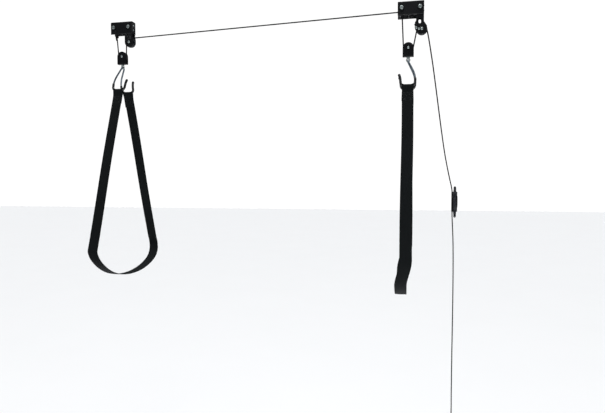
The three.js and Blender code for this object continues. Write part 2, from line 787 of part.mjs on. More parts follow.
// The lead from the right wheel down and back to the cleat.
const makeLead = () => {
  const last = ropeWheels[5];
  const leave = radians(13);
  const exit = new THREE.Vector3(
    last.x + last.pitch * Math.cos(leave),
    midY,
    last.z + last.pitch * Math.sin(leave),
  );
  const over = aroundWheel(last, runs[4].to, exit, 10);
  const [wrapStart, wrapNext] = wrapStations();
  const heading = wrapNext.clone().sub(wrapStart).normalize();
  const arrive = wrapStart.clone().addScaledVector(heading, -gap);
  const bend = new THREE.CatmullRomCurve3(
    [
      exit,
      new THREE.Vector3(exit.x + 4, midY + 1, exit.z - 17),
      new THREE.Vector3(exit.x + 10, midY + 14, exit.z - 42),
      new THREE.Vector3(exit.x + 30, midY + 71, exit.z - 140),
      new THREE.Vector3(cleat.x - 60, wallY - 140, cleat.z + 251),
      new THREE.Vector3(cleat.x - 27, wallY - 44, cleat.z + 118),
      new THREE.Vector3(cleat.x - 17, wallY - 18, cleat.z + 82),
      new THREE.Vector3(cleat.x - 12.5, wallY - 10.5, cleat.z + 58),
      new THREE.Vector3(arrive.x, arrive.y, cleat.z + 36),
      arrive,
    ],
    false,
    "centripetal",
  );
  ropeThrough("lead_rope", [...over, ...bend.getSpacedPoints(36).slice(1)]);
};

// The loop and barrel knot that hold the rope's end on the left bracket's anchor pin.
const makeAnchor = () => {
  const { x, z, pin } = anchor;
  addPiece("anchor_pin", headedPin(x, z, pin, 6, -bracket.depth, -gap), blackSteel);
  const loopRadius = pin + gap + ropeRadius;
  const loop = toSolid(
    new THREE.TorusGeometry(loopRadius, ropeRadius, 8, 14).rotateX(Math.PI / 2).translate(x, midY, z),
  );
  const barrelTop = z - loopRadius;
  const barrel = toSolid(
    new THREE.LatheGeometry(
      [
        [0, knotBottom + 0.7],
        [3.2, knotBottom + 0.7],
        [5.2, knotBottom + 3],
        [5.6, (knotBottom + barrelTop) / 2],
        [5, barrelTop - 1],
        [0, barrelTop],
      ].map(([r, up]) => new THREE.Vector2(r, up)),
      12,
    )
      .rotateX(Math.PI / 2)
      .translate(x, midY, 0),
  );
  addPiece("anchor_knot", loop.add(barrel), rope);
};

// The free tail below the cleat, hanging to its tied coil.
const tailRoute = [
  [cleat.x - 12.3, 415.9, cleat.z - 8],
  [cleat.x - 12.5, 413.6, cleat.z - 24],
  [cleat.x - 12.8, 409.6, cleat.z - 42],
  [cleat.x - 12.8, 407.4, cleat.z - 60],
  [cleat.x - 12, 406.5, cleat.z - 84],
  [cleat.x - 9.5, 407.5, cleat.z - 130],
  [cleat.x - 6.5, 409.5, cleat.z - 190],
  [cleat.x - 4.5, 411, cleat.z - 260],
  [cleat.x - 3.5, 412, cleat.z - 340],
  [cleat.x - 3, 412.5, cleat.z - 430],
  [cleat.x - 3, 413, cleat.z - 530],
  [cleat.x - 3.4, 413, cleat.z - 630],
  [cleat.x - 4, 413, cleat.z - 730],
  [cleat.x - 4.4, 413, cleat.z - 830],
  [cleat.x - 4.6, 413, cleat.z - 930],
  [cleat.x - 4.6, 413, cleat.z - 1030],
  [cleat.x - 4.5, 413, cleat.z - 1110],
  [cleat.x - 4.5, 413, tailEnd],
];

const makeTail = () => {
  const stations = wrapStations();
  const last = stations[stations.length - 1];
  const before = stations[stations.length - 2];
  const heading = last.clone().sub(before).normalize();
  const start = last.clone().addScaledVector(heading, gap);
  const points = [start, ...tailRoute.map((place) => new THREE.Vector3(...place))];
  const curve = new THREE.CatmullRomCurve3(points, false, "centripetal");
  ropeThrough("rope_tail", curve.getSpacedPoints(52));
};

// The spare rope, wound and tied: one solid ring of the coil's outer shape, hung from the tail.
const makeCoil = () => {
  const [x, y] = tailRoute[tailRoute.length - 1];
  const z = tailEnd - gap - coil.section - coil.mean;
  const sides = 10;
  const section = [];
  for (let i = 0; i < sides; i++) {
    const angle = (2 * Math.PI * i) / sides;
    section.push([coil.mean + coil.section * Math.cos(angle), coil.section * Math.sin(angle)]);
  }
  addPiece("rope_coil", turned(section, x, y, z), rope);
  const tie = new THREE.Shape();
  tie.absarc(0, 0, coil.section + 3.6, 0, 2 * Math.PI, false);
  const opening = new THREE.Path();
  opening.absarc(0, 0, coil.section + 1.6, 0, 2 * Math.PI, true);
  tie.holes.push(opening);
  const width = 14;
  const band = plateYZ(tie, -width / 2, width / 2, 16);
  addPiece("coil_tie", band.translate([x, y, z - coil.mean]), strap);
};

// ---- the whole hoist ----
for (const hoist of hoists) {
  makeBracket(hoist);
  makeLagBolt(hoist, "inner", hoist.bracketX - lagBolt.spread);
  makeLagBolt(hoist, "outer", hoist.bracketX + lagBolt.spread);
  makeCarrier(hoist);
  makeWheel(hoist);
  makeWheelAxle(hoist);
  makeBlock(hoist);
  makeSheave(hoist);
  makeSwivel(hoist);
  makeHook(hoist);
  makeSling(hoist);
}
makeGuideRoller();
makeLockCam();
makeAnchor();
makeFallsAndBights();
makeCrossRun();
makeLead();
makeCleat();
ropeThrough("cleat_wraps", wrapStations());
makeTail();
makeCoil();

export default root;
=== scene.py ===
import math

import bmesh
import bpy
from mathutils import Matrix, Vector


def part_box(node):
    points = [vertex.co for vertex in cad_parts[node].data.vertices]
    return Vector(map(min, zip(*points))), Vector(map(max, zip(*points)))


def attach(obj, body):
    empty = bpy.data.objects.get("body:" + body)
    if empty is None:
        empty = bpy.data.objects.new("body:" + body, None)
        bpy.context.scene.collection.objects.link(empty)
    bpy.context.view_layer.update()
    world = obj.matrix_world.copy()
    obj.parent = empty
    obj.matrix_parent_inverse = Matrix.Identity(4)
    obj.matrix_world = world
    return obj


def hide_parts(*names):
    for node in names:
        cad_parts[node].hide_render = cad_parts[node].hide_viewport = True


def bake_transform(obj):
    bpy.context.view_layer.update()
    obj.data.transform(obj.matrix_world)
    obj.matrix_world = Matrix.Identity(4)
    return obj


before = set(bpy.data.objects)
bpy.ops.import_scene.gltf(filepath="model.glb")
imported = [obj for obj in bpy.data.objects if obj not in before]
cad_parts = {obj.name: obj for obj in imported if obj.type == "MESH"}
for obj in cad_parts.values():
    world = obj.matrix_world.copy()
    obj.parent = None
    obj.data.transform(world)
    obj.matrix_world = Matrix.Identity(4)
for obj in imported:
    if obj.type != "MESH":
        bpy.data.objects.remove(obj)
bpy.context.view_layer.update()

# A two-point kayak hoist. All sizes are in metres, in the frame of the CAD model.
ROPE_RADIUS = 0.003
BRAID_PITCH = 0.0045
BRAID_STRANDS = 4
SHEET = 0.0025
EDGE_ROUND = 0.0005  # on the edges of folded sheet
WHEEL_PITCH, SHEAVE_PITCH, ROLLER_PITCH = 0.021, 0.021, 0.009  # radius of the rope's middle on each
CHEEK_RADIUS = 0.022
WEB_INSIDE = 0.0542  # inner face of a carrier's end web, from its bracket's middle
CARRIER_TOP, CARRIER_FRONT, CARRIER_BACK = 0.024, -0.033, -0.003
BLOCK_BELOW = 0.0385  # from a block's axle down to its underside
EYE_DROP = 0.014  # from there down to the middle of the swivel's eye
ROD_RADIUS = 0.004
SIDES = {"left": -1, "right": 1}  # the side of each hook that its shank stands on
MID_Y = (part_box("sheave_left")[0].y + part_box("sheave_left")[1].y) / 2
WALL_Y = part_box("cleat")[1].y
FLOOR_Z = -2.37


def centre(node):
    low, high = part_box(node)
    return (low + high) / 2


def around(degrees):
    """The cosine and sine of an angle in degrees."""
    return math.cos(math.radians(degrees)), math.sin(math.radians(degrees))


def linked(name, data):
    """A new object, in the scene."""
    obj = bpy.data.objects.new(name, data)
    bpy.context.scene.collection.objects.link(obj)
    return obj


# ---- camera ----
def make_camera():
    data = bpy.data.cameras.new("camera")
    data.lens = 30.68
    data.sensor_width = 36
    camera = linked("camera", data)
    camera.location = (0.0149, -2.3841, -0.7748)
    camera.rotation_euler = (math.radians(90 - 2.474), 0, math.radians(12.056))
    bpy.context.scene.camera = camera


make_camera()


# ---- materials ----
class Nodes:
    """A material's node tree, with short ways to add and join nodes."""

    def __init__(self, name):
        self.material = bpy.data.materials.new(name)
        self.material.use_nodes = True
        self.tree = self.material.node_tree
        self.shader = self.tree.nodes["Principled BSDF"]

    def add(self, kind, settings=None, **inputs):
        node = self.tree.nodes.new("ShaderNode" + kind)
        for key, value in (settings or {}).items():
            setattr(node, key, value)
        for key, value in inputs.items():
            self.put(node.inputs[key.replace("_", " ")], value)
        return node

    def put(self, socket, value):
        if isinstance(value, bpy.types.NodeSocket):
            self.tree.links.new(value, socket)
        else:
            socket.default_value = value

    def math(self, operation, *values):
        node = self.tree.nodes.new("ShaderNodeMath")
        node.operation = operation
        for socket, value in zip(node.inputs, values):
            self.put(socket, value)
        return node.outputs[0]

    def noise(self, scale, detail=4, stretch=None):
        place = self.add("TexCoord").outputs["Object"]
        if stretch:
            place = self.add("Mapping", Vector=place, Scale=stretch).outputs[0]
        return self.add("TexNoise", Vector=place, Scale=scale, Detail=detail).outputs["Fac"]

    def ramp(self, value, low, high, start=0.0, end=1.0):
        node = self.add("MapRange")
        for socket, number in zip(node.inputs, (value, low, high, start, end)):
            self.put(socket, number)
        return node.outputs[0]

    def blend(self, share, first, second):
        node = self.add("Mix", {"data_type": "RGBA"})
        self.put(node.inputs["Factor"], share)
        colours = [socket for socket in node.inputs if socket.type == "RGBA"]
        for socket, colour in zip(colours, (first, second)):
            self.put(socket, colour if isinstance(colour, bpy.types.NodeSocket) else (*colour, 1))
        return next(socket for socket in node.outputs if socket.type == "RGBA")

    def bump(self, height, distance, strength=1.0):
        return self.add("Bump", Height=height, Distance=distance, Strength=strength).outputs[0]

    def finish(self, **sockets):
        for key, value in sockets.items():
            self.put(self.shader.inputs[key.replace("_", " ")], value)
        return self.material


def coated_steel():
    """Satin black powder coat: fine peel, a little dust on top faces and bare steel on rubbed edges."""
    n = Nodes("coated_steel")
    peel = n.noise(900, 2)
    cloud = n.noise(14, 5)
    geometry = n.add("NewGeometry")
    up = n.add("SeparateXYZ", Vector=geometry.outputs["Normal"]).outputs["Z"]
    dust = n.math("MULTIPLY", n.ramp(up, 0.2, 1.0), n.ramp(cloud, 0.35, 0.75))
    speck = n.noise(160, 6)
    edge = n.ramp(geometry.outputs["Pointiness"], 0.53, 0.6)
    rubbed = n.math("MULTIPLY", edge, n.ramp(speck, 0.5, 0.62, 0, 0.8))
    black = n.blend(cloud, (0.0016, 0.0017, 0.0026), (0.0030, 0.0031, 0.0041))
    dusty = n.blend(n.math("MULTIPLY", dust, 0.3), black, (0.05, 0.05, 0.047))
    return n.finish(
        Base_Color=n.blend(rubbed, dusty, (0.16, 0.16, 0.165)),
        Roughness=n.ramp(cloud, 0.3, 0.7, 0.34, 0.5),
        Metallic=n.math("MULTIPLY", rubbed, 0.9),
        Normal=n.bump(peel, 0.00008, 0.5),
        Specular_IOR_Level=0.15,
        Coat_Weight=0.05,
    )


def zinc_plate(name, bright, dull, rough):
    """Zinc plating: a mottled passivated surface with fine wire marks."""
    n = Nodes(name)
    mottle = n.noise(120, 5)
    marks = n.noise(700, 3, stretch=(1, 1, 0.12))
    stain = n.noise(30, 4)
    colour = n.blend(n.ramp(mottle, 0.35, 0.65), bright, dull)
    return n.finish(
        Base_Color=n.blend(n.ramp(stain, 0.58, 0.75, 0, 0.35), colour, (0.22, 0.22, 0.19)),
        Metallic=1.0,
        Roughness=n.ramp(n.math("ADD", mottle, marks), 0.6, 1.4, rough, rough + 0.18),
        Normal=n.bump(marks, 0.00005, 0.35),
    )


def dipped_vinyl():
    """Glossy black vinyl, dipped: soft flow ripples and faint rubbing."""
    n = Nodes("dipped_vinyl")
    flow = n.noise(90, 2, stretch=(1, 1, 0.35))
    scuff = n.noise(420, 5)
    return n.finish(
        Base_Color=n.blend(flow, (0.0022, 0.0026, 0.0034), (0.0044, 0.005, 0.0064)),
        Roughness=n.ramp(scuff, 0.35, 0.75, 0.2, 0.4),
        Normal=n.bump(flow, 0.0006, 0.35),
        Specular_IOR_Level=0.4,
        Coat_Weight=0.1,
        Coat_Roughness=0.12,
    )


def moulded_nylon():
    """Blue-black moulded nylon with a polished running surface."""
    n = Nodes("moulded_nylon")
    cloud = n.noise(60, 4)
    grain = n.noise(1300, 2)
    return n.finish(
        Base_Color=n.blend(cloud, (0.0032, 0.0042, 0.0068), (0.0060, 0.0078, 0.0125)),
        Roughness=n.ramp(cloud, 0.3, 0.7, 0.2, 0.34),
        Normal=n.bump(grain, 0.00004, 0.4),
        Specular_IOR_Level=0.45,
        Coat_Weight=0.1,
    )


def along_and_across(n):
    """The distance along a piece and the place across or round it, from its own strip map."""
    strip = n.add("UVMap", {"uv_map": "strip"}).outputs[0]
    parts = n.add("SeparateXYZ", Vector=strip)
    return parts.outputs["X"], parts.outputs["Y"]


def woven_strap():
    """Ribbed black webbing: columns of warp yarn with the picks showing between them, faded a little, with
    painted shade in the hollows of the weave.
    """
    n = Nodes("woven_strap")
    along, across = along_and_across(n)
    column = n.math("DIVIDE", across, 0.0014)
    rib = n.math("ABSOLUTE", n.math("SINE", n.math("MULTIPLY", column, math.pi)))
    stagger = n.math("MULTIPLY", n.math("FLOOR", column), 0.5)
    pick = n.math("FRACT", n.math("ADD", n.math("DIVIDE", along, 0.0022), stagger))
    yarn = n.math("SINE", n.math("MULTIPLY", pick, math.pi))
    height = n.math("MULTIPLY", rib, n.math("MULTIPLY_ADD", yarn, 0.6, 0.4))
    fade = n.noise(7, 5)
    fuzz = n.noise(900, 3)
    # Painted shade: the webbing is coloured darker where the weave is low, in the hollows between ribs and
    # picks.
    weave_painted_shade = n.blend(n.ramp(height, 0.1, 0.9), (0.0010, 0.0014, 0.0016), (0.0036, 0.0052, 0.0060))
    # Random fading laid over the weave's painted shade.
    faded_weave_and_painted_shade = n.blend(n.ramp(fade, 0.4, 0.8, 0, 0.35), weave_painted_shade, (0.0072, 0.0096, 0.0108))
    return n.finish(
        Base_Color=faded_weave_and_painted_shade,
        Roughness=n.ramp(fuzz, 0.3, 0.7, 0.62, 0.84),
        Normal=n.bump(n.math("ADD", height, n.math("MULTIPLY", fuzz, 0.15)), 0.0004, 0.8),
        Specular_IOR_Level=0.1,
        Sheen_Weight=0.012,
        Sheen_Roughness=0.4,
    )


def braided_rope():
    """Black braid: two families of strands that cross in diamonds, painted darker in the hollows between
    strands as shade, with the odd lifted fibre.
    """
    n = Nodes("braided_rope")
    along, across = along_and_across(n)
    pitch = n.math("DIVIDE", along, BRAID_PITCH)
    turns = n.math("MULTIPLY", across, BRAID_STRANDS)
    first = n.math("ADD", pitch, turns)
    second = n.math("SUBTRACT", pitch, turns)
    waves = [n.math("SINE", n.math("MULTIPLY", phase, math.pi)) for phase in (first, second)]
    height = n.math("MULTIPLY", *[n.math("ABSOLUTE", wave) for wave in waves])
    fuzz = n.noise(2200, 4)
    # Painted shade: the braid is coloured darker in the hollows between strands and lighter on their crowns.
    strand_painted_shade = n.blend(n.ramp(height, 0.05, 0.8), (0.0012, 0.0012, 0.0014), (0.0058, 0.0058, 0.0064))
    return n.finish(
        Base_Color=n.blend(n.ramp(fuzz, 0.62, 0.8, 0, 0.3), strand_painted_shade, (0.018, 0.018, 0.019)),
        Roughness=n.ramp(fuzz, 0.3, 0.7, 0.6, 0.85),
        Normal=n.bump(n.math("ADD", height, n.math("MULTIPLY", fuzz, 0.2)), 0.0003, 0.7),
        Specular_IOR_Level=0.2,
        Sheen_Weight=0.03,
    )


def sewing_thread():
    """Bonded thread a shade lighter than the webbing."""
    n = Nodes("sewing_thread")
    twist = n.noise(2600, 2, stretch=(1, 1, 2))
    return n.finish(
        Base_Color=n.blend(twist, (0.009, 0.0105, 0.012), (0.024, 0.027, 0.030)),
        Roughness=0.5,
        Specular_IOR_Level=0.3,
        Normal=n.bump(twist, 0.0001, 0.5),
    )


def pale_floor():
    n = Nodes("pale_floor")
    return n.finish(
        Base_Color=n.blend(n.noise(1.5, 3), (0.84, 0.84, 0.84), (0.86, 0.86, 0.86)),
        Roughness=0.7,
    )


STEEL = coated_steel()
BOLT_ZINC = zinc_plate("bolt_zinc", (0.46, 0.51, 0.50), (0.28, 0.33, 0.32), 0.24)
WIRE_ZINC = zinc_plate("wire_zinc", (0.17, 0.205, 0.235), (0.085, 0.105, 0.125), 0.26)
VINYL = dipped_vinyl()
NYLON = moulded_nylon()
STRAP = woven_strap()
ROPE = braided_rope()
THREAD = sewing_thread()


# ---- meshes ----
def piece(name, vertices, faces, material, body=None, replaces=(), strip=None, crease=40):
    """A mesh object of the hoist, smooth but for edges sharper than crease degrees."""
    mesh = plain_mesh(vertices, faces, name)
    if strip:
        layer = mesh.uv_layers.new(name="strip")
        layer.data.foreach_set("uv", [number for corner in strip for number in corner])
    return settled(mesh, name, material, body, replaces, crease)


def plain_mesh(vertices, faces, name="plain"):
    mesh = bpy.data.meshes.new(name)
    mesh.from_pydata(vertices, [], faces)
    return mesh


def settled(mesh, name, material, body=None, replaces=(), crease=40):
    mesh.materials.clear()
    mesh.materials.append(material)
    mesh.shade_smooth()
    mesh.set_sharp_from_angle(angle=math.radians(crease))
    obj = linked(name, mesh)
    if body:
        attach(obj, body)
    if replaces:
        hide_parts(*replaces)
    return obj


def loft(rings, marks=None):
    """Faces that join closed rings of points in order, with both ends capped."""
    count = len(rings[0])
    vertices = [point for ring in rings for point in ring]
    faces, strip = [], []
    for i in range(len(rings) - 1):
        for j in range(count):
            k = (j + 1) % count
            at = i * count
            faces.append((at + j, at + k, at + count + k, at + count + j))
            if marks:
                low, high = marks[i], marks[i + 1]
                strip += [low[j], low[j + 1], high[j + 1], high[j]]
    faces.append(tuple(reversed(range(count))))
    last = (len(rings) - 1) * count
    faces.append(tuple(last + j for j in range(count)))
    if marks:
        strip += [marks[0][j] for j in reversed(range(count))]
        strip += [marks[-1][j] for j in range(count)]
    return vertices, faces, strip


def evenly(points, step):
    """Points about step apart along a line, both ends kept."""
    lengths = [0.0]
    for before, after in zip(points, points[1:]):
        lengths.append(lengths[-1] + (after - before).length)
    count = max(2, round(lengths[-1] / step))
    spaced, i = [], 0
    for k in range(count + 1):
        goal = lengths[-1] * k / count
        while i < len(points) - 2 and lengths[i + 1] < goal:
            i += 1
        span = lengths[i + 1] - lengths[i]
        share = (goal - lengths[i]) / span if span else 0
        spaced.append(points[i].lerp(points[i + 1], min(max(share, 0), 1)))
    return spaced


def smooth_line(knots, step):
    """Points at equal steps along a centripetal Catmull-Rom curve through the knots."""
    knots = [Vector(knot) for knot in knots]
    ends = [2 * knots[0] - knots[1], *knots, 2 * knots[-1] - knots[-2]]
    fine = []
    for a, b, c, d in zip(ends, ends[1:], ends[2:], ends[3:]):
        times = [0.0]
        for before, after in ((a, b), (b, c), (c, d)):
            times.append(times[-1] + max((after - before).length, 1e-9) ** 0.5)
        for k in range(12):
            t = times[1] + (times[2] - times[1]) * k / 12

            def mix(p, q, low, high):
                return p * ((high - t) / (high - low)) + q * ((t - low) / (high - low))

            first = mix(a, b, times[0], times[1])
            second = mix(b, c, times[1], times[2])
            third = mix(c, d, times[2], times[3])
            near = mix(first, second, times[0], times[2])
            far = mix(second, third, times[1], times[3])
            fine.append(mix(near, far, times[1], times[2]))
    return evenly([*fine, knots[-1]], step)


def carried(points):
    """A direction, a side and an up for each point, carried along the line without twist."""
    last = len(points) - 1
    side = None
    frames = []
    for i in range(last + 1):
        ahead = (points[min(i + 1, last)] - points[max(i - 1, 0)]).normalized()
        if side is None:
            side = ahead.orthogonal()
        side = (side - ahead * side.dot(ahead)).normalized()
        frames.append((ahead, side, ahead.cross(side)))
    return frames


def tube(points, radius, sides=16, dome=0.0):
    """Vertices, faces and strip map of a tube. radius is a number or a function of distance and angle."""
    reach = radius if callable(radius) else (lambda distance, angle: radius)
    frames = carried(points)
    stations = []
    distance = 0.0
    for i, (point, axes) in enumerate(zip(points, frames)):
        if i:
            distance += (point - points[i - 1]).length
        stations.append((point, axes, distance, 1.0))
    if dome:
        first, last = stations[0], stations[-1]
        for degrees in (30, 55, 75, 86):
            scale, share = around(degrees)
            out = dome * share
            stations.insert(0, (first[0] - first[1][0] * out, first[1], first[2] - out, scale))
            stations.append((last[0] + last[1][0] * out, last[1], last[2] + out, scale))
    rings, marks = [], []
    for point, (ahead, side, up), along, scale in stations:
        ring = []
        for j in range(sides):
            angle = 2 * math.pi * j / sides
            r = reach(along, angle) * scale
            ring.append(point + side * (r * math.cos(angle)) + up * (r * math.sin(angle)))
        rings.append(ring)
        marks.append([(along, j / sides) for j in range(sides + 1)])
    return loft(rings, marks)


def lathe(profile, middle, segments=56):
    """A ring or wheel about a Y axis through middle: a closed profile of (radius, place along Y)."""
    vertices, faces = [], []
    count = len(profile)
    for i in range(segments):
        angle = 2 * math.pi * i / segments
        for radius, along in profile:
            local = (radius * math.cos(angle), along, -radius * math.sin(angle))
            vertices.append(middle + Vector(local))
    for i in range(segments):
        for j in range(count):
            a, b = i * count, ((i + 1) % segments) * count
            k = (j + 1) % count
            faces.append((a + j, a + k, b + k, b + j))
    return vertices, faces


def capped_lathe(profile, middle, axis="Y", segments=40):
    """A solid turned about an axis, from one end to the other of (radius, place along the axis)."""
    rings = []
    for radius, along in profile:
        ring = []
        for i in range(segments):
            angle = 2 * math.pi * i / segments
            a, b = radius * math.cos(angle), radius * math.sin(angle)
            ring.append(middle + Vector((a, along, -b) if axis == "Y" else (a, b, along)))
        rings.append(ring)
    return loft(rings)[:2]


def together(*parts):
    """Several lists of vertices and faces as one."""
    vertices, faces = [], []
    for some_vertices, some_faces in parts:
        start = len(vertices)
        vertices += some_vertices
        faces += [tuple(start + i for i in face) for face in some_faces]
    return vertices, faces


def arc(x, z, radius, start, end, steps=24):
    """Points round a circle from one angle to another, in degrees."""
    angles = [math.radians(start + (end - start) * i / steps) for i in range(steps + 1)]
    return [(x + radius * math.cos(a), z + radius * math.sin(a)) for a in angles]


def prism(outline, low, high, plane="XZ"):
    """An outline made solid: (x, z) points between two y places, or (y, z) points between two x places."""
    def place(a, b, depth):
        return Vector((a, depth, b)) if plane == "XZ" else Vector((depth, a, b))

    rings = [[place(a, b, depth) for a, b in outline] for depth in (low, high)]
    mesh = plain_mesh(*loft(rings)[:2])
    work = bmesh.new()
    work.from_mesh(mesh)
    bmesh.ops.recalc_face_normals(work, faces=work.faces)
    work.to_mesh(mesh)
    work.free()
    return mesh


def block_of(low, high):
    outline = [(low[0], low[2]), (high[0], low[2]), (high[0], high[2]), (low[0], high[2])]
    return prism(outline, low[1], high[1])


def shaped(mesh, steps, bevel=0.0):
    """A mesh after boolean steps of (operation, mesh), with its edges rounded when bevel is given."""
    body = linked("work", mesh)
    tools = []
    for operation, tool_mesh in steps:
        tool = linked("tool", tool_mesh)
        tools.append(tool)
        change = body.modifiers.new("cut", "BOOLEAN")
        change.operation = operation
        change.object = tool
        change.solver = "EXACT"
    if bevel:
        rounding = body.modifiers.new("round", "BEVEL")
        rounding.width = bevel
        rounding.segments = 3
        rounding.limit_method = "ANGLE"
        rounding.angle_limit = math.radians(35)
        rounding.use_clamp_overlap = True
    return evaluated(body, *tools)


def evaluated(body, *tools):
    """The mesh of an object with its modifiers applied. The object and its tools are then removed."""
    bpy.context.view_layer.update()
    graph = bpy.context.evaluated_depsgraph_get()
    result = bpy.data.meshes.new_from_object(body.evaluated_get(graph))
    for obj in (body, *tools):
        bpy.data.objects.remove(obj)
    return result


# ---- rope ----
def braid(distance, angle):
    """The braid's outer surface: diamonds 0.3 mm high."""
    turns = BRAID_STRANDS * angle / (2 * math.pi)
    pitch = distance / BRAID_PITCH
    ridges = abs(math.sin(math.pi * (pitch + turns)) * math.sin(math.pi * (pitch - turns)))
    return ROPE_RADIUS - 0.00022 + 0.0003 * ridges


def rope_piece(name, points, replaces, body="root", dome=0.0, sides=16):
    vertices, faces, strip = tube(points, braid, sides, dome)
    return piece(name, vertices, faces, ROPE, body, replaces, strip, crease=80)


ROPE_STEP = 0.0022
ROPE_END = 0.0024  # how far the rounded end of a cut rope stands out
ANCHOR = centre("anchor_pin")
KNOT_BOTTOM_Z = ANCHOR.z - 0.026
# Each wheel that the rope passes, in order: its centre, pitch radius, and +1 over it or -1 under it.
ROUTE = [
    (Vector((ANCHOR.x, MID_Y, KNOT_BOTTOM_Z)), 0.0, 1),
    (centre("sheave_left"), SHEAVE_PITCH, -1),
    (centre("wheel_left"), WHEEL_PITCH, 1),
    (centre("guide_roller"), ROLLER_PITCH, 1),
    (centre("sheave_right"), SHEAVE_PITCH, -1),
    (centre("wheel_right"), WHEEL_PITCH, 1),
]


def run_between(first, second):
    """The two touching points of the straight run between two wheels."""
    (a, pitch_a, turn_a), (b, pitch_b, turn_b) = first, second
    span = b - a
    lean = math.asin((turn_b * pitch_b - turn_a * pitch_a) / math.hypot(span.x, span.z))
    along = math.atan2(span.z, span.x) + lean
    normal = Vector((-math.sin(along), 0, math.cos(along)))
    ends = [a + normal * (turn_a * pitch_a), b + normal * (turn_b * pitch_b)]
    return [Vector((end.x, MID_Y, end.z)) for end in ends]


RUNS = [run_between(a, b) for a, b in zip(ROUTE, ROUTE[1:])]


def around_wheel(stop, start, end, steps=40):
    """Points round a wheel from one touching point to the next, the way that the rope turns."""
    middle, pitch, turn = stop
    first = math.atan2(start.z - middle.z, start.x - middle.x)
    sweep = math.atan2(end.z - middle.z, end.x - middle.x) - first
    if turn * sweep > 0:
        sweep -= turn * 2 * math.pi
    angles = [first + sweep * i / steps for i in range(steps + 1)]
    return [Vector((middle.x + pitch * math.cos(a), MID_Y, middle.z + pitch * math.sin(a))) for a in angles]


def make_falls():
    """The four straight falls, fixed in place between the wheels, and a half turn that rides under each
    block's wheel.
    """
    falls = {
        "fall_left_anchor": (RUNS[0], "block_left"),
        "fall_left_wheel": (RUNS[1][::-1], "block_left"),
        "fall_right_guide": (RUNS[3], "block_right"),
        "fall_right_wheel": (RUNS[4][::-1], "block_right"),
    }
    for node, ((top, bottom), block) in falls.items():
        points = evenly([top, bottom], ROPE_STEP)
        fall = rope_piece(f"rope_{node}", points, [node], body=None)
        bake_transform(fall)
    for side, stop, before, after in (("left", 1, 0, 1), ("right", 4, 3, 4)):
        turn = around_wheel(ROUTE[stop], RUNS[before][1], RUNS[after][0])
        rope_piece(f"rope_bight_{side}", turn, [f"bight_{side}"], f"block_{side}")


def make_cross_rope():
    over = around_wheel(ROUTE[2], RUNS[1][1], RUNS[2][0])
    down = around_wheel(ROUTE[3], RUNS[2][1], RUNS[3][0])
    rope_piece("rope_cross_run", evenly([*over, *down], ROPE_STEP), ["cross_rope"])


CLEAT = Vector((centre("cleat").x, WALL_Y, centre("cleat").z))
POST_EDGE = 0.030  # half the height over both cleat posts


def wrap_points(steps_per_turn=120, turns=2):
    """Two turns round the cleat's posts, from the back to the front."""
    back_y, advance = WALL_Y - 0.0093, 0.0073
    half_x, half_z = 0.0125, POST_EDGE + 0.0065
    points = []
    for i in range(turns * steps_per_turn + 1):
        angle = math.pi + 2 * math.pi * i / steps_per_turn
        a, b = math.cos(angle), math.sin(angle)
        x = CLEAT.x + half_x * math.copysign(abs(a) ** 0.4, a)
        z = CLEAT.z + half_z * math.copysign(abs(b) ** 0.4, b)
        points.append(Vector((x, back_y - advance * i / steps_per_turn, z)))
    return points


WRAPS = evenly(wrap_points(), ROPE_STEP)


def make_lead():
    """From the right wheel down and back to the cleat, and the turns on it."""
    middle, pitch, _ = ROUTE[5]
    across, up = around(13)
    exit_point = Vector((middle.x + pitch * across, MID_Y, middle.z + pitch * up))
    over = around_wheel(ROUTE[5], RUNS[4][1], exit_point)
    x, z = exit_point.x, exit_point.z
    knots = [
        exit_point,
        (x + 0.004, MID_Y + 0.001, z - 0.017),
        (x + 0.010, MID_Y + 0.014, z - 0.042),
        (x + 0.030, MID_Y + 0.071, z - 0.140),
        (CLEAT.x - 0.060, WALL_Y - 0.140, CLEAT.z + 0.251),
        (CLEAT.x - 0.027, WALL_Y - 0.044, CLEAT.z + 0.118),
        (CLEAT.x - 0.017, WALL_Y - 0.018, CLEAT.z + 0.082),
        (CLEAT.x - 0.0125, WALL_Y - 0.0105, CLEAT.z + 0.058),
        (WRAPS[0].x, WRAPS[0].y, CLEAT.z + 0.036),
        WRAPS[0],
    ]
    points = evenly([*over, *smooth_line(knots, ROPE_STEP)[1:]], ROPE_STEP)
    rope_piece("rope_lead", points, ["lead_rope"])
    rope_piece("rope_cleat_turns", WRAPS, ["cleat_wraps"])


def make_anchor_knot():
    """A loop round the pin, closed by a barrel knot of three turns, with the rope's end beside it."""
    loop_radius = 0.0073
    knots = [Vector((ANCHOR.x, MID_Y, KNOT_BOTTOM_Z + up)) for up in (0.001, 0.006)]
    for degrees in range(-60, 241, 30):
        across, up = around(degrees)
        knots.append(Vector((ANCHOR.x + loop_radius * across, MID_Y - 0.001, ANCHOR.z + loop_radius * up)))
    barrel_radius = 0.0052
    top, bottom, turns = ANCHOR.z - 0.0115, KNOT_BOTTOM_Z + 0.0035, 3
    for i in range(turns * 10 + 1):
        a, b = around(200 - 36 * i)
        z = top + (bottom - top) * i / (turns * 10)
        knots.append(Vector((ANCHOR.x + barrel_radius * a, MID_Y + barrel_radius * b, z)))
    end = knots[-1]
    knots += [end + Vector((0.003, -0.003, -0.004)), end + Vector((0.005, -0.004, -0.014))]
    rope_piece("rope_anchor_knot", smooth_line(knots, 0.0015), ["anchor_knot"], dome=ROPE_END)


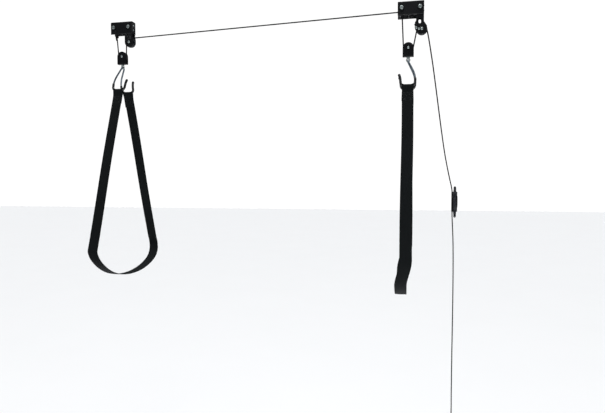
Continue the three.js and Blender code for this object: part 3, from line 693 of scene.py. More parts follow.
# The hanging tail, from the cleat down to the coil, as offsets from the cleat in x and z, with its own y.
TAIL_ROUTE = [
    (-0.0123, 0.4159, -0.008),
    (-0.0125, 0.4136, -0.024),
    (-0.0128, 0.4096, -0.042),
    (-0.0128, 0.4074, -0.060),
    (-0.0120, 0.4065, -0.084),
    (-0.0095, 0.4075, -0.130),
    (-0.0065, 0.4095, -0.190),
    (-0.0045, 0.4110, -0.260),
    (-0.0035, 0.4120, -0.340),
    (-0.0030, 0.4125, -0.430),
    (-0.0030, 0.4130, -0.530),
    (-0.0034, 0.4130, -0.630),
    (-0.0040, 0.4130, -0.730),
    (-0.0044, 0.4130, -0.830),
    (-0.0046, 0.4130, -0.930),
    (-0.0046, 0.4130, -1.030),
    (-0.0045, 0.4120, -1.110),
]
COIL = centre("rope_coil")
COIL_RADIUS = 0.054
COIL_TURNS = 26
TURN_PITCH = 0.0059  # between neighbouring turns of the coil
# The tail's round turn on the top of the coil, from the middle of the coil's section there.
HITCH = [
    (-0.002, -0.006, 0.050),
    (-0.003, -0.016, 0.030),
    (-0.0035, -0.0215, 0.012),
    (-0.0035, -0.0220, -0.004),
    (-0.0035, -0.0160, -0.017),
    (-0.0028, 0.0, -0.0225),
    (-0.0015, 0.0160, -0.0165),
    (-0.0005, 0.0225, -0.001),
    (0.0012, 0.0160, 0.016),
    (0.0035, 0.0, 0.0228),
    (0.0070, -0.0135, 0.018),
    (0.0130, -0.0205, 0.009),
    (0.0220, -0.0210, 0.000),
]


def coil_slots():
    """Where each turn lies in the coil's section, as (outward, y): a hexagonal stack, row by row."""
    slots = []
    for column in range(-3, 4):
        y = column * TURN_PITCH * math.sqrt(3) / 2
        shift = 0.5 if column % 2 else 0.0
        row = [(k + shift) * TURN_PITCH for k in range(-4, 4)]
        row = [r for r in row if math.hypot(r, y) < 2.7 * TURN_PITCH]
        slots += [(r, y) for r in (row if column % 2 else reversed(row))]
    return slots[: COIL_TURNS + 1]


def on_coil(degrees, outward, y):
    up, across = around(degrees)
    r = COIL_RADIUS + outward
    return Vector((COIL.x + r * across, COIL.y + y, COIL.z + r * up))


def coil_points():
    """The coil's turns: each runs in its slot and crosses to the next one near its end."""
    slots = coil_slots()
    steps, start, points = 36, 40, []
    for turn in range(COIL_TURNS):
        (r0, y0), (r1, y1) = slots[turn], slots[turn + 1]
        for i in range(steps):
            share = min(max((i / steps - 0.72) / 0.28, 0), 1)
            share = share * share * (3 - 2 * share)
            degrees = start + 360 * i / steps
            points.append(on_coil(degrees, r0 + (r1 - r0) * share, y0 + (y1 - y0) * share))
    return points, slots[COIL_TURNS]


def make_tail():
    """The free tail: it hangs from the cleat, takes a round turn on its own coil and winds into it."""
    top = on_coil(0, 0, 0)
    turns, (r, y) = coil_points()
    loose_end = [
        on_coil(52, r, y + 0.001),
        on_coil(70, r + 0.003, y + 0.003),
        on_coil(84, r + 0.007, y + 0.004),
        on_coil(95, r + 0.009, y + 0.003),
        on_coil(110, r + 0.012, y + 0.001),
    ]
    knots = [
        WRAPS[-1],
        *[(CLEAT.x + dx, y_tail, CLEAT.z + dz) for dx, y_tail, dz in TAIL_ROUTE],
        *[top + Vector(place) for place in HITCH],
        *turns,
        *loose_end,
    ]
    path = smooth_line(knots, 0.003)
    tail = rope_piece("rope_tail_and_coil", path, ["rope_tail", "rope_coil"], dome=ROPE_END, sides=12)
    seal = tube(path[-5:], ROPE_RADIUS + 0.0005, 20, 0.0016)
    end_seal = piece("rope_end_seal", *seal[:2], VINYL, "root")
    make_coil_tie()


def make_coil_tie():
    """A strap band round the bottom of the coil, lapped over itself."""
    middle = on_coil(180, 0, 0)
    section = rounded_strip(0.0075, 0.0007, 6)
    rings, marks = [], []
    steps = 96
    for i in range(steps + 1):
        share = i / steps
        a = math.radians(-60 + 450 * share)
        r = 0.0198 + 0.0022 * share
        out = Vector((0, math.cos(a), math.sin(a)))
        rings.append([middle + out * (r + depth) + Vector((across, 0, 0)) for across, depth in section])
        marks.append([(r * a, across) for across, _ in section])
        marks[-1].append(marks[-1][0])
    vertices, faces, strip = loft(rings, marks)
    return piece("coil_tie_band", vertices, faces, STRAP, "root", ["coil_tie"], strip, 60)


def rounded_strip(half_width, half_thick, columns):
    """The closed section of a woven strip as (across, depth): rounded selvedges, flat faces."""
    top = []
    for i in range(columns + 1):
        share = 2 * i / columns - 1
        across = half_width * (1 - (1 - abs(share)) ** 1.6) * math.copysign(1, share)
        edge = max(0.0, abs(across) - (half_width - 2 * half_thick)) / (2 * half_thick)
        top.append((across, half_thick * math.sqrt(max(0.06, 1 - edge * edge))))
    return [*top, *[(across, -depth) for across, depth in reversed(top)]]


make_tail()
make_falls()
make_cross_rope()
make_lead()
make_anchor_knot()


# ---- brackets, carriers and their fasteners ----
def bracket_outline(back_bottom):
    """The saddle's folded sheet seen from its end, with the rolled hem on its front edge."""
    top, bottom, depth, bend = 0.030, -0.030, -0.036, 0.004
    hem_y, hem_z, hem = depth + SHEET / 2, bottom + 0.0014, 0.00175
    return [
        (0, back_bottom),
        *arc(-bend, top - bend, bend, 0, 90, 8),
        *arc(depth + bend, top - bend, bend, 90, 180, 8),
        *arc(hem_y, hem_z, hem, 135, 405, 16),
        *arc(depth + bend, top - bend, bend - SHEET, 180, 90, 6),
        *arc(-bend, top - bend, bend - SHEET, 90, 0, 6),
        (-SHEET, back_bottom),
    ]


def make_bracket(side):
    low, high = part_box(f"bracket_{side}")
    back_bottom = low.z if side == "right" else -0.030
    mesh = shaped(prism(bracket_outline(back_bottom), low.x, high.x, "YZ"), [], EDGE_ROUND)
    settled(mesh, f"bracket_shell_{side}", STEEL, "root", [f"bracket_{side}"])


def hexagon(x, z, radius, turn):
    corners = [around(60 * i + turn) for i in range(6)]
    return [(x + radius * a, z + radius * b) for a, b in corners]


def make_lag_bolt(node, turn):
    """A hex lag bolt with a chamfered head, a pressed washer and a coarse thread to its point."""
    low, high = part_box(node)
    x, z = (low.x + high.x) / 2, (low.z + high.z) / 2
    front = low.y
    washer_front, washer_back = front + 0.0065, front + 0.0081
    head_radius = 0.015 / math.sqrt(3)
    chamfer = capped_lathe(
        [(0.0066, front), (0.0092, front + 0.0013), (0.0092, washer_front)], Vector((x, 0, z)), "Y", 48
    )
    outline = hexagon(x, z, head_radius, turn)
    head = shaped(prism(outline, front, washer_front), [("INTERSECT", plain_mesh(*chamfer))])
    settled(head, f"{node}_head", BOLT_ZINC, "root", crease=25)
    washer = [
        (0.0052, washer_front + 0.0002),
        (0.0099, washer_front),
        (0.0105, washer_front + 0.0005),
        (0.0105, washer_back - 0.0004),
        (0.0101, washer_back),
        (0.0052, washer_back),
    ]
    piece(f"{node}_washer", *lathe(washer, Vector((x, 0, z))), STEEL, "root")
    piece(f"{node}_shank", *lag_shank(x, z, washer_front, high.y), BOLT_ZINC, "root", [node], crease=30)


def lag_shank(x, z, start, end):
    """A shank that is plain for its first third and threaded down to its point."""
    step, core, crest, point_length = 0.0006, 0.0036, 0.00475, 0.012
    plain = start + (end - start) / 3

    def radius_at(y, ridge):
        radius = crest if y < plain else core + (crest - core) * ridge
        return max(0.0003, radius * min(1.0, (end - y) / point_length))

    return threaded(x, z, (start, end), round((end - start) / step), 24, (plain, 0.0036), radius_at)


def threaded(x, z, ends, count, sides, thread, radius_at):
    """A rod along Y with one helical ridge: thread is where the helix starts and its pitch."""
    (start, end), (first, pitch) = ends, thread
    rings = []
    for i in range(count + 1):
        y = start + (end - start) * i / count
        ring = []
        for j in range(sides):
            a = 2 * math.pi * j / sides
            phase = ((y - first) / pitch - j / sides) % 1.0
            radius = radius_at(y, max(0.0, 1 - abs(phase - 0.5) * 4))
            ring.append(Vector((x + radius * math.cos(a), y, z - radius * math.sin(a))))
        rings.append(ring)
    return loft(rings)[:2]


def dome_head(radius, height, face, outward, middle):
    """A low domed rivet head on a face at one y place, standing out along -Y or +Y."""
    profile = [(radius, face)]
    for degrees in (8, 20, 35, 50, 65, 80):
        a = math.radians(degrees)
        profile.append((radius * math.cos(a) ** 0.7, face + outward * height * math.sin(a)))
    if outward < 0:
        profile.reverse()
    return capped_lathe(profile, Vector((middle[0], 0, middle[1])), "Y", 32)


def make_riveted_pin(node, radius, material, body="root", both=True):
    """A pin along Y with a domed head on its front, and one on its back where it goes right through."""
    low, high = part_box(node)
    x, z = (low.x + high.x) / 2, (low.z + high.z) / 2
    head = (high.x - low.x) / 2
    height = 0.002
    shank_end = high.y - height if both else high.y
    shank = capped_lathe([(radius, low.y + height), (radius, shank_end)], Vector((x, 0, z)), "Y", 32)
    parts = [shank, dome_head(head, height, low.y + height, -1, (x, z))]
    if both:
        parts.append(dome_head(head, height, high.y - height, 1, (x, z)))
    piece(f"{node}_turned", *together(*parts), material, body, [node])


def carrier_outline(side, x0):
    """The carrier's cheek: square at the top, round about the wheel, and wider round the right one's cam."""
    wheel = centre(f"wheel_{side}")
    web = x0 + WEB_INSIDE + SHEET
    left, right = wheel.x - CHEEK_RADIUS, wheel.x + CHEEK_RADIUS
    outline = [(left, CARRIER_TOP)]
    if side == "right":
        cam = centre("lock_cam_pin")
        reach = cam.x - 0.0055
        outline = [
            (cam.x, CARRIER_TOP),
            (cam.x, cam.z + 0.017),
            (reach, cam.z + 0.007),
            (reach, cam.z - 0.009),
            (left, cam.z - 0.019),
        ]
    outline += arc(wheel.x, wheel.z, CHEEK_RADIUS, 180, 360, 40)
    outline += [(right, wheel.z + 0.012), (web, wheel.z + 0.032), (web, CARRIER_TOP)]
    return outline


def make_carrier(side):
    """Two cheeks and an end web, folded from one sheet and hung inside the bracket."""
    x0 = centre(f"bracket_{side}").x
    inner = (CARRIER_FRONT + SHEET, CARRIER_BACK - SHEET)
    web_bottom = -0.028
    steps = [
        ("DIFFERENCE", block_of((x0 - 0.1, inner[0], -0.2), (x0 + WEB_INSIDE, inner[1], 0.1))),
        ("DIFFERENCE", block_of((x0 - 0.1, inner[0], -0.2), (x0 + 0.1, inner[1], web_bottom))),
    ]
    if side == "right":
        x, z, radius, straight = x0 + 0.0388, -0.0565, 0.0055, 0.007
        slot = [*arc(x, z + straight, radius, 0, 180, 16), *arc(x, z - straight, radius, 180, 360, 16)]
        steps.append(("DIFFERENCE", prism(slot, CARRIER_FRONT - 0.005, CARRIER_BACK + 0.005)))
    mesh = shaped(prism(carrier_outline(side, x0), CARRIER_FRONT, CARRIER_BACK), steps, EDGE_ROUND)
    settled(mesh, f"carrier_shell_{side}", STEEL, "root", [f"carrier_{side}"])


def make_web_rivets(side):
    """Two small bright rivets through the carrier's end web."""
    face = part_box(f"bracket_{side}")[1].x - 0.0003
    parts = []
    for z in (0.012, -0.010):
        profile = [(0.0032, 0.0), (0.0030, 0.0008), (0.0022, 0.0014), (0.0008, 0.0017)]
        vertices, faces = capped_lathe(profile, Vector((0, 0, 0)), "Z", 24)
        turn = Matrix.Rotation(math.radians(90), 4, "Y")
        place = Vector((face, MID_Y, z))
        parts.append(([place + turn @ vertex for vertex in vertices], faces))
    piece(f"web_rivets_{side}", *together(*parts), BOLT_ZINC, "root")


def make_cheek_rivets():
    """Bright rivets of the lock's housing on the right carrier's two cheeks, beside the wheel's axle."""
    axle, cam = centre("wheel_axle_right"), centre("lock_cam_pin")
    places = [(axle.x - 0.012, axle.z), (cam.x + 0.0012, cam.z - 0.0146)]
    low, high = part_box("carrier_right")
    parts = []
    for x, z in places:
        parts.append(dome_head(0.0048, 0.0018, low.y, -1, (x, z)))
        parts.append(dome_head(0.0048, 0.0018, high.y, 1, (x, z)))
    piece("cheek_rivets_right", *together(*parts), BOLT_ZINC, "root")


def make_wheels():
    """Grooved wheels: a hub that stands proud, a recessed web, rounded rims and a polished groove."""
    for node in ("wheel_left", "wheel_right"):
        half = [
            (0.0045, 0.0111),
            (0.0049, 0.0115),
            (0.0086, 0.0115),
            (0.0090, 0.0111),
            (0.0090, 0.0052),
            (0.0097, 0.0045),
            (0.0148, 0.0045),
            (0.0156, 0.0050),
            (0.0163, 0.0062),
            (0.0168, 0.0065),
            *rim_half(0.024, 0.0065, WHEEL_PITCH),
        ]
        turned_piece(node, half)
    for node, rim, half_width, pitch, hole in (
        ("guide_roller", 0.0105, 0.006, ROLLER_PITCH, 0.0035),
        ("sheave_left", 0.023, 0.006, SHEAVE_PITCH, 0.0045),
        ("sheave_right", 0.023, 0.006, SHEAVE_PITCH, 0.0045),
    ):
        ease = 0.0004
        half = [(hole, half_width - ease), (hole + ease, half_width), *rim_half(rim, half_width, pitch)]
        turned_piece(node, half)


def rim_half(rim, half_width, pitch):
    """Half of a rounded rim and groove, as (radius, half width) from the side face to the groove's floor."""
    corner, mouth, groove = 0.0005, 0.0045, 0.0034
    points = [
        (rim - corner, half_width),
        (rim - 0.3 * corner, half_width - 0.3 * corner),
        (rim, half_width - corner),
        (rim, mouth + corner),
    ]
    floor = pitch - ROPE_RADIUS
    for degrees in range(75, -1, -15):
        down, across = around(degrees)
        points.append((floor + groove * (1 - down), groove * across + 0.0001))
    return points


def turned_piece(node, half):
    profile = [*[(r, -y) for r, y in half], *[(r, y) for r, y in reversed(half)]]
    piece(f"{node}_turned", *lathe(profile, centre(node), 72), NYLON, node, [node], crease=45)


for side in SIDES:
    make_bracket(side)
    make_carrier(side)
    make_web_rivets(side)
    make_lag_bolt(f"lag_bolt_{side}_inner", 12)
    make_lag_bolt(f"lag_bolt_{side}_outer", 41)
    make_riveted_pin(f"wheel_axle_{side}", 0.004, BOLT_ZINC)
    make_riveted_pin(f"sheave_axle_{side}", 0.004, BOLT_ZINC, f"block_{side}")
make_riveted_pin("lock_cam_pin", 0.0025, STEEL)
make_riveted_pin("guide_pin", 0.003, STEEL, both=False)
make_riveted_pin("anchor_pin", 0.004, STEEL, both=False)
make_cheek_rivets()
make_wheels()


# ---- hook blocks ----
def make_block(side):
    """A folded cheek block: a U of sheet with a round top."""
    axle = centre(f"sheave_{side}")
    half, bend, inner = 0.0245, 0.003, 0.007
    outer = inner + SHEET
    bottom, top = axle.z - BLOCK_BELOW, axle.z + 0.040
    fold = [
        (MID_Y - outer, top),
        *arc(MID_Y - outer + bend, bottom + bend, bend, 180, 270, 8),
        *arc(MID_Y + outer - bend, bottom + bend, bend, 270, 360, 8),
        (MID_Y + outer, top),
        (MID_Y + inner, top),
        (MID_Y + inner, bottom + SHEET),
        (MID_Y - inner, bottom + SHEET),
        (MID_Y - inner, top),
    ]
    face = [(axle.x + end * half, bottom - 0.001) for end in (-1, 1)]
    face += arc(axle.x, axle.z, half, 0, 180, 40)
    steps = [("INTERSECT", prism(face, MID_Y - 0.03, MID_Y + 0.03))]
    mesh = shaped(prism(fold, axle.x - half - 0.001, axle.x + half + 0.001, "YZ"), steps, EDGE_ROUND)
    settled(mesh, f"block_shell_{side}", STEEL, f"block_{side}", [f"block_{side}"])


def make_swivel(side):
    """The turning eye: a button head in the fold, a collar and a forged ring that the hook hangs in."""
    axle = centre(f"sheave_{side}")
    floor = axle.z - BLOCK_BELOW
    eye = Vector((axle.x, MID_Y, floor - EYE_DROP))
    stem = [
        (0.0040, eye.z + 0.0085),
        (0.0070, eye.z + 0.0085),
        (0.0075, eye.z + 0.0090),
        (0.0075, floor - 0.0008),
        (0.0070, floor - 0.0003),
        (0.0040, floor - 0.0003),
        (0.0040, floor + SHEET + 0.0003),
        (0.0060, floor + SHEET + 0.0003),
        (0.0060, floor + SHEET + 0.0022),
        (0.0045, floor + SHEET + 0.0037),
        (0.0015, floor + SHEET + 0.0040),
    ]
    stem_part = capped_lathe(stem, Vector((axle.x, MID_Y, 0)), "Z", 36)
    section = [around(degrees) for degrees in range(0, 360, 24)]
    ring = [(0.0077 + 0.0021 * a, 0.0025 * b) for a, b in section]
    body = f"swivel_{side}"
    piece(f"swivel_eye_{side}", *together(stem_part, lathe(ring, eye)), BOLT_ZINC, body, [body])


# ---- double-J hooks ----
ARCH_RADIUS = 0.012
TILT = math.radians(16)
HOOK_DEPTH = 0.122  # from the arch's top down to the bottom of each J
SHANK_X, TIP_X, CORNER = 0.031, -0.032, 0.020
HOOK_STEP = 0.0015
DIPPED_SHARE = 14 / 48  # of the rod's whole length, at each end
ARCH_SWEEP = math.pi / 2 - TILT
ARM_START_Y = ARCH_RADIUS * math.sin(ARCH_SWEEP)
ARM_START_DEPTH = ARCH_RADIUS * (1 - math.cos(ARCH_SWEEP))


def arm_y(depth):
    """How far an arm stands from the middle plane at a depth below the arch's top."""
    return ARM_START_Y + (depth - ARM_START_DEPTH) * math.tan(TILT)


def arch_top(side):
    axle = centre(f"sheave_{side}")
    return Vector((axle.x, MID_Y, axle.z - BLOCK_BELOW - EYE_DROP))


def hook_half():
    """Half of the bent rod from the arch's top to its tip, as (x, y, depth), for a shank on the +X side."""
    points = []
    for i in range(4):
        a = ARCH_SWEEP * i / 4
        points.append((0, ARCH_RADIUS * math.sin(a), ARCH_RADIUS * (1 - math.cos(a))))
    bends = [
        (0.0008, ARM_START_DEPTH),
        (0.007, 0.021),
        (0.0155, 0.038),
        (0.0235, 0.055),
        (0.0285, 0.071),
        (SHANK_X, 0.085),
    ]
    turns = [around(degrees) for degrees in range(0, 91, 15)]
    bends += [(SHANK_X - CORNER * (1 - a), HOOK_DEPTH - CORNER * (1 - b)) for a, b in turns]
    bends += [(TIP_X + CORNER * (1 - b), HOOK_DEPTH - CORNER * (1 - a)) for a, b in turns]
    bends += [
        (TIP_X - 0.001, HOOK_DEPTH - 0.033),
        (TIP_X - 0.003, HOOK_DEPTH - 0.043),
        (TIP_X - 0.006, HOOK_DEPTH - 0.052),
    ]
    return points + [(x, arm_y(depth), depth) for x, depth in bends]


def hook_line(side):
    top, hand = arch_top(side), SIDES[side]
    half = hook_half()

    def place(point, face):
        x, y, depth = point
        return Vector((top.x + hand * x, top.y + face * y, top.z - depth))

    knots = [place(p, -1) for p in reversed(half[1:])] + [place(p, 1) for p in half]
    return smooth_line(knots, HOOK_STEP)


def make_hook(side):
    """A bent zinc rod whose two J ends are dipped in vinyl."""
    line = hook_line(side)
    vertices, faces, strip = tube(line, ROD_RADIUS, 24, ROD_RADIUS)
    body = f"hook_{side}"
    piece(f"hook_rod_{side}", vertices, faces, WIRE_ZINC, body, [f"hook_{side}"], strip)
    dipped = round(len(line) * DIPPED_SHARE)
    ends = {"front": line[:dipped][::-1], "back": line[-dipped:]}
    for face, points in ends.items():
        total = (len(points) - 1) * HOOK_STEP

        def skin(distance, angle):
            lip = min(1.0, max(0.0, distance / 0.004))
            bead = 0.0004 * math.exp(-(((distance - total) / 0.006) ** 2))
            ripple = 0.00008 * math.sin(distance * 310 + angle)
            return ROD_RADIUS + 0.0002 + 0.0015 * math.sin(lip * math.pi / 2) + bead + ripple

        vertices, faces, strip = tube(points, skin, 28, 0.0055)
        node = f"hook_sleeve_{side}_{face}"
        piece(f"{node}_dipped", vertices, faces, VINYL, body, [node], strip)


# ---- webbing slings ----
WEB_HALF, WEB_THICK = 0.025, 0.0024
WEB_LOOP = 0.0072  # radius of a sewn loop's middle, on its hook
WEB_OFFSET, WEB_SHIFT = 0.0005, 0.022  # along X, at the hook and under the hull, away from the shank
GUNWALE_Y = 0.280
GUNWALE_Z = {"left": -1.085, "right": -1.097}


def sling_half(side):
    """The strap's line in the YZ plane from the inner end of its lap, round the hook, to the gunwale."""
    top = arch_top(side)
    bar = Vector((arm_y(HOOK_DEPTH), top.z - HOOK_DEPTH))
    gunwale_z = GUNWALE_Z[side]
    leg = (Vector((GUNWALE_Y, gunwale_z)) - bar).normalized()
    out = Vector((-leg.y, leg.x))
    knots = [(s, -0.0025) for s in (0.070, 0.058, 0.046, 0.034)]
    knots += [(0.024, -0.0029), (0.014, -0.0052), (0.006, -0.0069)]
    turns = [around(degrees) for degrees in range(-90, 91, 30)]
    knots += [(-WEB_LOOP * a, WEB_LOOP * b) for a, b in turns]
    knots += [(0.006, 0.0066), (0.014, 0.0042), (0.024, 0.0013), (0.034, 0.0), (0.046, 0.0), (0.070, 0.0)]
    length = (Vector((GUNWALE_Y, gunwale_z)) - bar).length
    knots += [(length * share, 0.0) for share in (0.2, 0.4, 0.6, 0.8, 0.97)]
    return [bar + leg * s + out * n for s, n in knots], bar, leg


def sling_line(side):
    """The whole strap's line from lap to lap in the plane x = 0, the hook's bar and a leg's direction."""
    half, bar, leg = sling_half(side)
    gunwale_z = GUNWALE_Z[side]
    depth = gunwale_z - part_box(f"sling_{side}")[0].z - WEB_THICK / 2
    turns = [around(degrees) for degrees in range(8, 173, 8)]
    hull = [Vector((GUNWALE_Y * a, gunwale_z - depth * b)) for a, b in turns]
    knots = [*half, Vector((GUNWALE_Y, gunwale_z)), *hull, Vector((-GUNWALE_Y, gunwale_z))]
    knots += [Vector((-p.x, p.y)) for p in reversed(half)]
    line = smooth_line([(0, p.x, p.y) for p in knots], 0.0022)
    return line, bar, leg


def smoothstep(value, low, high):
    share = min(max((value - low) / (high - low), 0.0), 1.0)
    return share * share * (3 - 2 * share)


def make_sling(side):
    """A strap of ribbed webbing from J to J under the hull, with a lapped and sewn loop at each end."""
    hand, top = SIDES[side], arch_top(side)
    line, bar, leg = sling_line(side)
    gunwale_z = GUNWALE_Z[side]
    centre_x = top.x - hand * WEB_OFFSET
    section = rounded_strip(WEB_HALF, WEB_THICK / 2, 20)
    flat_half, up_leg = 0.0115, Vector((0, -leg.x, -leg.y))
    rings, marks = [], []
    distance = 0.0
    last = len(line) - 1
    for i, point in enumerate(line):
        if i:
            distance += (point - line[i - 1]).length
        ahead = (line[min(i + 1, last)] - line[max(i - 1, 0)]).normalized()
        normal = Vector((1, 0, 0)).cross(ahead)
        face = 1 if point.y > 0 else -1
        below_bar = (bar.y - point.z) / -leg.y
        near_hook = 1 - smoothstep(below_bar, 0.004, 0.055)
        under = smoothstep((gunwale_z - point.z) / 0.1, -0.2, 1)
        sag = 0.0012 * math.sin(distance * 9 + hand) * (1 - near_hook)
        rise = Vector((0, up_leg.y * face, up_leg.z))
        ring = []
        for across, depth in section:
            past = max(0.0, abs(across) - flat_half)
            cup = (CORNER - math.sqrt(CORNER**2 - past**2)) * near_hook
            belly = 0.0006 * math.cos(across / WEB_HALF * 1.5) * (1 - near_hook)
            x = centre_x + across - hand * WEB_SHIFT * under + sag
            ring.append(Vector((x, point.y + MID_Y, point.z)) + normal * (depth + belly) + rise * cup)
        rings.append(ring)
        marks.append([(distance, across) for across, _ in section])
        marks[-1].append(marks[-1][0])
    vertices, faces, strip = loft(rings, marks)
    name = f"sling_webbing_{side}"
    body = f"hook_{side}"
    strap = piece(name, vertices, faces, STRAP, body, [f"sling_{side}"], strip, 60)
    seams = make_seams(side, centre_x, bar, leg)


def stitches(corners, length=0.0026, space=0.0009):
    """Short straight stitches along the sides of an open or closed outline, as pairs of ends."""
    pairs = []
    for start, end in zip(corners, corners[1:]):
        side = end - start
        count = max(1, round(side.length / (length + space)))
        for i in range(count):
            middle = start + side * ((i + 0.5) / count)
            half = side.normalized() * (length / 2)
            pairs.append((middle - half, middle + half))
    return pairs


def make_seams(side, centre_x, bar, leg):
    """A box and a cross of stitches through each lap, on both of its faces."""
    half_width, low, high = 0.019, 0.032, 0.066
    corners = [Vector((a, s)) for a, s in ((-1, low), (1, low), (1, high), (-1, high), (-1, low))]
    corners = [Vector((a.x * half_width, a.y)) for a in corners]
    lines = [corners, [corners[0], corners[2]], [corners[1], corners[3]]]
    parts = []
    for face in (1, -1):
        run = Vector((0, face * leg.x, leg.y))
        out = Vector((0, face * -leg.y, leg.x))
        origin = Vector((centre_x, MID_Y + face * bar.x, bar.y))
        for offset in (0.0013, -0.0038):
            for line in lines:
                for start, end in stitches(line):
                    ends = [origin + Vector((p.x, 0, 0)) + run * p.y + out * offset for p in (start, end)]
                    middle = (ends[0] + ends[1]) / 2 + out * math.copysign(0.0002, offset)
                    parts.append(tube([ends[0], middle, ends[1]], 0.00042, 6)[:2])
    return piece(f"sling_stitching_{side}", *together(*parts), THREAD, f"hook_{side}")


for side in SIDES:
    make_block(side)
    make_swivel(side)
    make_hook(side)
    make_sling(side)


# ---- lock cam, cleat ----
def make_lock_cam():
    """The toothed cam: a thin zinc casting with softened edges."""
    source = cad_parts["lock_cam"].data.copy()
    work = bmesh.new()
    work.from_mesh(source)
    bmesh.ops.remove_doubles(work, verts=work.verts, dist=1e-6)
    bmesh.ops.dissolve_limit(work, angle_limit=math.radians(1), verts=work.verts, edges=work.edges)
    work.to_mesh(source)
    work.free()
    mesh = shaped(source, [], 0.00035)
    settled(mesh, "lock_cam_cast", BOLT_ZINC, "lock_cam", ["lock_cam"])


def ellipse_ring(middle, half_x, half_y, sides=20):
    corners = [around(360 * i / sides) for i in range(sides)]
    return [middle + Vector((half_x * a, half_y * b, 0)) for a, b in corners]


def make_cleat():
    """A moulded horn cleat: a bar with two flared horns on two posts and a screwed foot, all blended."""
    low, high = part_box("cleat")
    front, half_x = low.y, 0.008
    length = (high.z - low.z) / 2
    rings = []
    for i in range(41):
        share = i / 20 - 1
        z = CLEAT.z + share * (length - 0.0005)
        lift = 0.004 * smoothstep(abs(share), 0.45, 1.0)
        thick = 0.0062 - 0.0022 * smoothstep(abs(share), 0.3, 1.0)
        width = half_x * (1 - 0.18 * smoothstep(abs(share), 0.5, 1.0))
        end = math.sqrt(max(0.02, 1 - smoothstep(abs(share), 0.93, 1.0) ** 2))
        middle = Vector((CLEAT.x, front + 0.0085 - lift, z))
        rings.append(ellipse_ring(middle, width * end, thick * end))
    bar = plain_mesh(*loft(rings)[:2])
    steps = []
    for end in (-1, 1):
        z = CLEAT.z + end * 0.022
        low_corner = (CLEAT.x - half_x + 0.0005, front + 0.008, z - 0.008)
        high_corner = (CLEAT.x + half_x - 0.0005, WALL_Y - 0.003, z + 0.008)
        steps.append(("UNION", block_of(low_corner, high_corner)))
    foot_low = (CLEAT.x - 0.015, WALL_Y - 0.006, CLEAT.z - 0.053)
    steps.append(("UNION", block_of(foot_low, (CLEAT.x + 0.015, WALL_Y, CLEAT.z + 0.053))))
    for end in (-1, 1):
        hole = arc(CLEAT.x, CLEAT.z + end * 0.0455, 0.003, 0, 345, 23)
        steps.append(("DIFFERENCE", prism(hole, WALL_Y - 0.02, WALL_Y + 0.01)))
    mesh = shaped(bar, steps)
    work = linked("work", mesh)
    remesh = work.modifiers.new("grid", "REMESH")
    remesh.mode = "VOXEL"
    remesh.voxel_size = 0.0011
    ease = work.modifiers.new("ease", "SMOOTH")
    ease.factor = 0.5
    ease.iterations = 8
    settled(evaluated(work), "cleat_moulded", NYLON, "root", ["cleat"], crease=70)
    for name in ("cleat_screw_lower", "cleat_screw_upper"):
        make_cleat_screw(name)


def make_cleat_screw(node):
    """A pan-head wood screw with a cross recess and a fine thread."""
    low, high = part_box(node)
    x, z = (low.x + high.x) / 2, (low.z + high.z) / 2
    head_height = 0.0024
    head = low.y + head_height
    cross = []
    for a, b in ((0.0026, 0.0006), (0.0006, 0.0026)):
        cross.append(block_of((x - a, low.y - 0.001, z - b), (x + a, low.y + 0.0012, z + b)))
    dome = plain_mesh(*dome_head(0.0046, head_height, head, -1, (x, z)))
    recessed = shaped(dome, [("DIFFERENCE", tool) for tool in cross])
    settled(recessed, f"{node}_head", BOLT_ZINC, "root", crease=30)

    def radius_at(y, ridge):
        return (0.0018 + 0.0008 * ridge) * min(1.0, (high.y - y) / 0.008 + 0.05)

    thread = threaded(x, z, (head, high.y), 110, 16, (0, 0.0018), radius_at)
    piece(f"{node}_thread", *thread, BOLT_ZINC, "root", [node], crease=30)


make_lock_cam()
make_cleat()


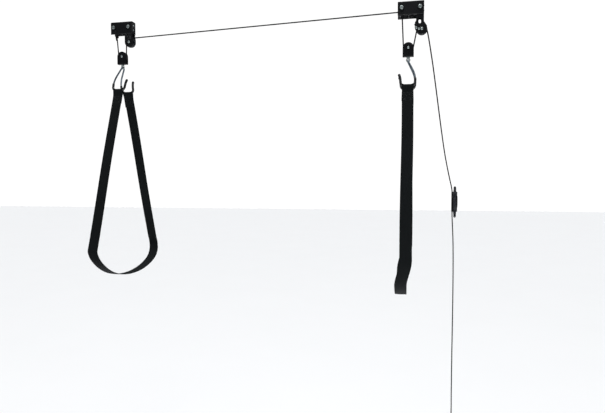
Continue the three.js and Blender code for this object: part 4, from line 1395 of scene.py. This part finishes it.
# ---- stage and light ----
def make_stage():
    vertices = [Vector((x, y, FLOOR_Z)) for x, y in ((-30, -30), (30, -30), (30, 30), (-30, 30))]
    mesh = plain_mesh(vertices, [(0, 1, 2, 3)], "floor")
    mesh.materials.append(pale_floor())
    linked("floor", mesh)


def make_light(name, place, aim, size, power):
    data = bpy.data.lights.new(name, "AREA")
    data.energy = power
    data.size = size
    light = linked(name, data)
    light.location = place
    light.rotation_euler = (Vector(aim) - Vector(place)).to_track_quat("-Z", "Y").to_euler()


def make_sun():
    """Wide soft light from straight above, which keeps the floor pale."""
    data = bpy.data.lights.new("sky", "SUN")
    data.energy = 2.0
    data.angle = math.radians(70)
    linked("sky", data)


def make_world():
    """A white backdrop for the camera; what lights the hoist is dim at eye height and brighter overhead."""
    world = bpy.data.worlds.new("studio")
    world.use_nodes = True
    tree = world.node_tree
    backdrop = tree.nodes["Background"]
    backdrop.inputs["Color"].default_value = (1, 1, 1, 1)
    backdrop.inputs["Strength"].default_value = 1.05
    room = tree.nodes.new("ShaderNodeBackground")
    room.inputs["Color"].default_value = (0.93, 0.96, 1.0, 1)
    place = tree.nodes.new("ShaderNodeTexCoord")
    height = tree.nodes.new("ShaderNodeSeparateXYZ")
    strength = tree.nodes.new("ShaderNodeMapRange")
    for name, number in (("From Min", 0.0), ("From Max", 0.8), ("To Min", 0.06), ("To Max", 0.62)):
        strength.inputs[name].default_value = number
    path = tree.nodes.new("ShaderNodeLightPath")
    mix = tree.nodes.new("ShaderNodeMixShader")
    link = tree.links.new
    link(place.outputs["Generated"], height.inputs[0])
    link(height.outputs["Z"], strength.inputs["Value"])
    link(strength.outputs["Result"], room.inputs["Strength"])
    link(path.outputs["Is Camera Ray"], mix.inputs[0])
    link(room.outputs[0], mix.inputs[1])
    link(backdrop.outputs[0], mix.inputs[2])
    link(mix.outputs[0], tree.nodes["World Output"].inputs["Surface"])
    bpy.context.scene.world = world


make_stage()
make_world()
make_sun()
make_light("key", (-0.5, -1.3, 2.2), (-0.7, 0, -0.2), 1.2, 22)
make_light("low", (0.3, -1.6, -1.8), (0, 0, 0), 0.5, 14)
bpy.context.scene.view_settings.view_transform = "Standard"
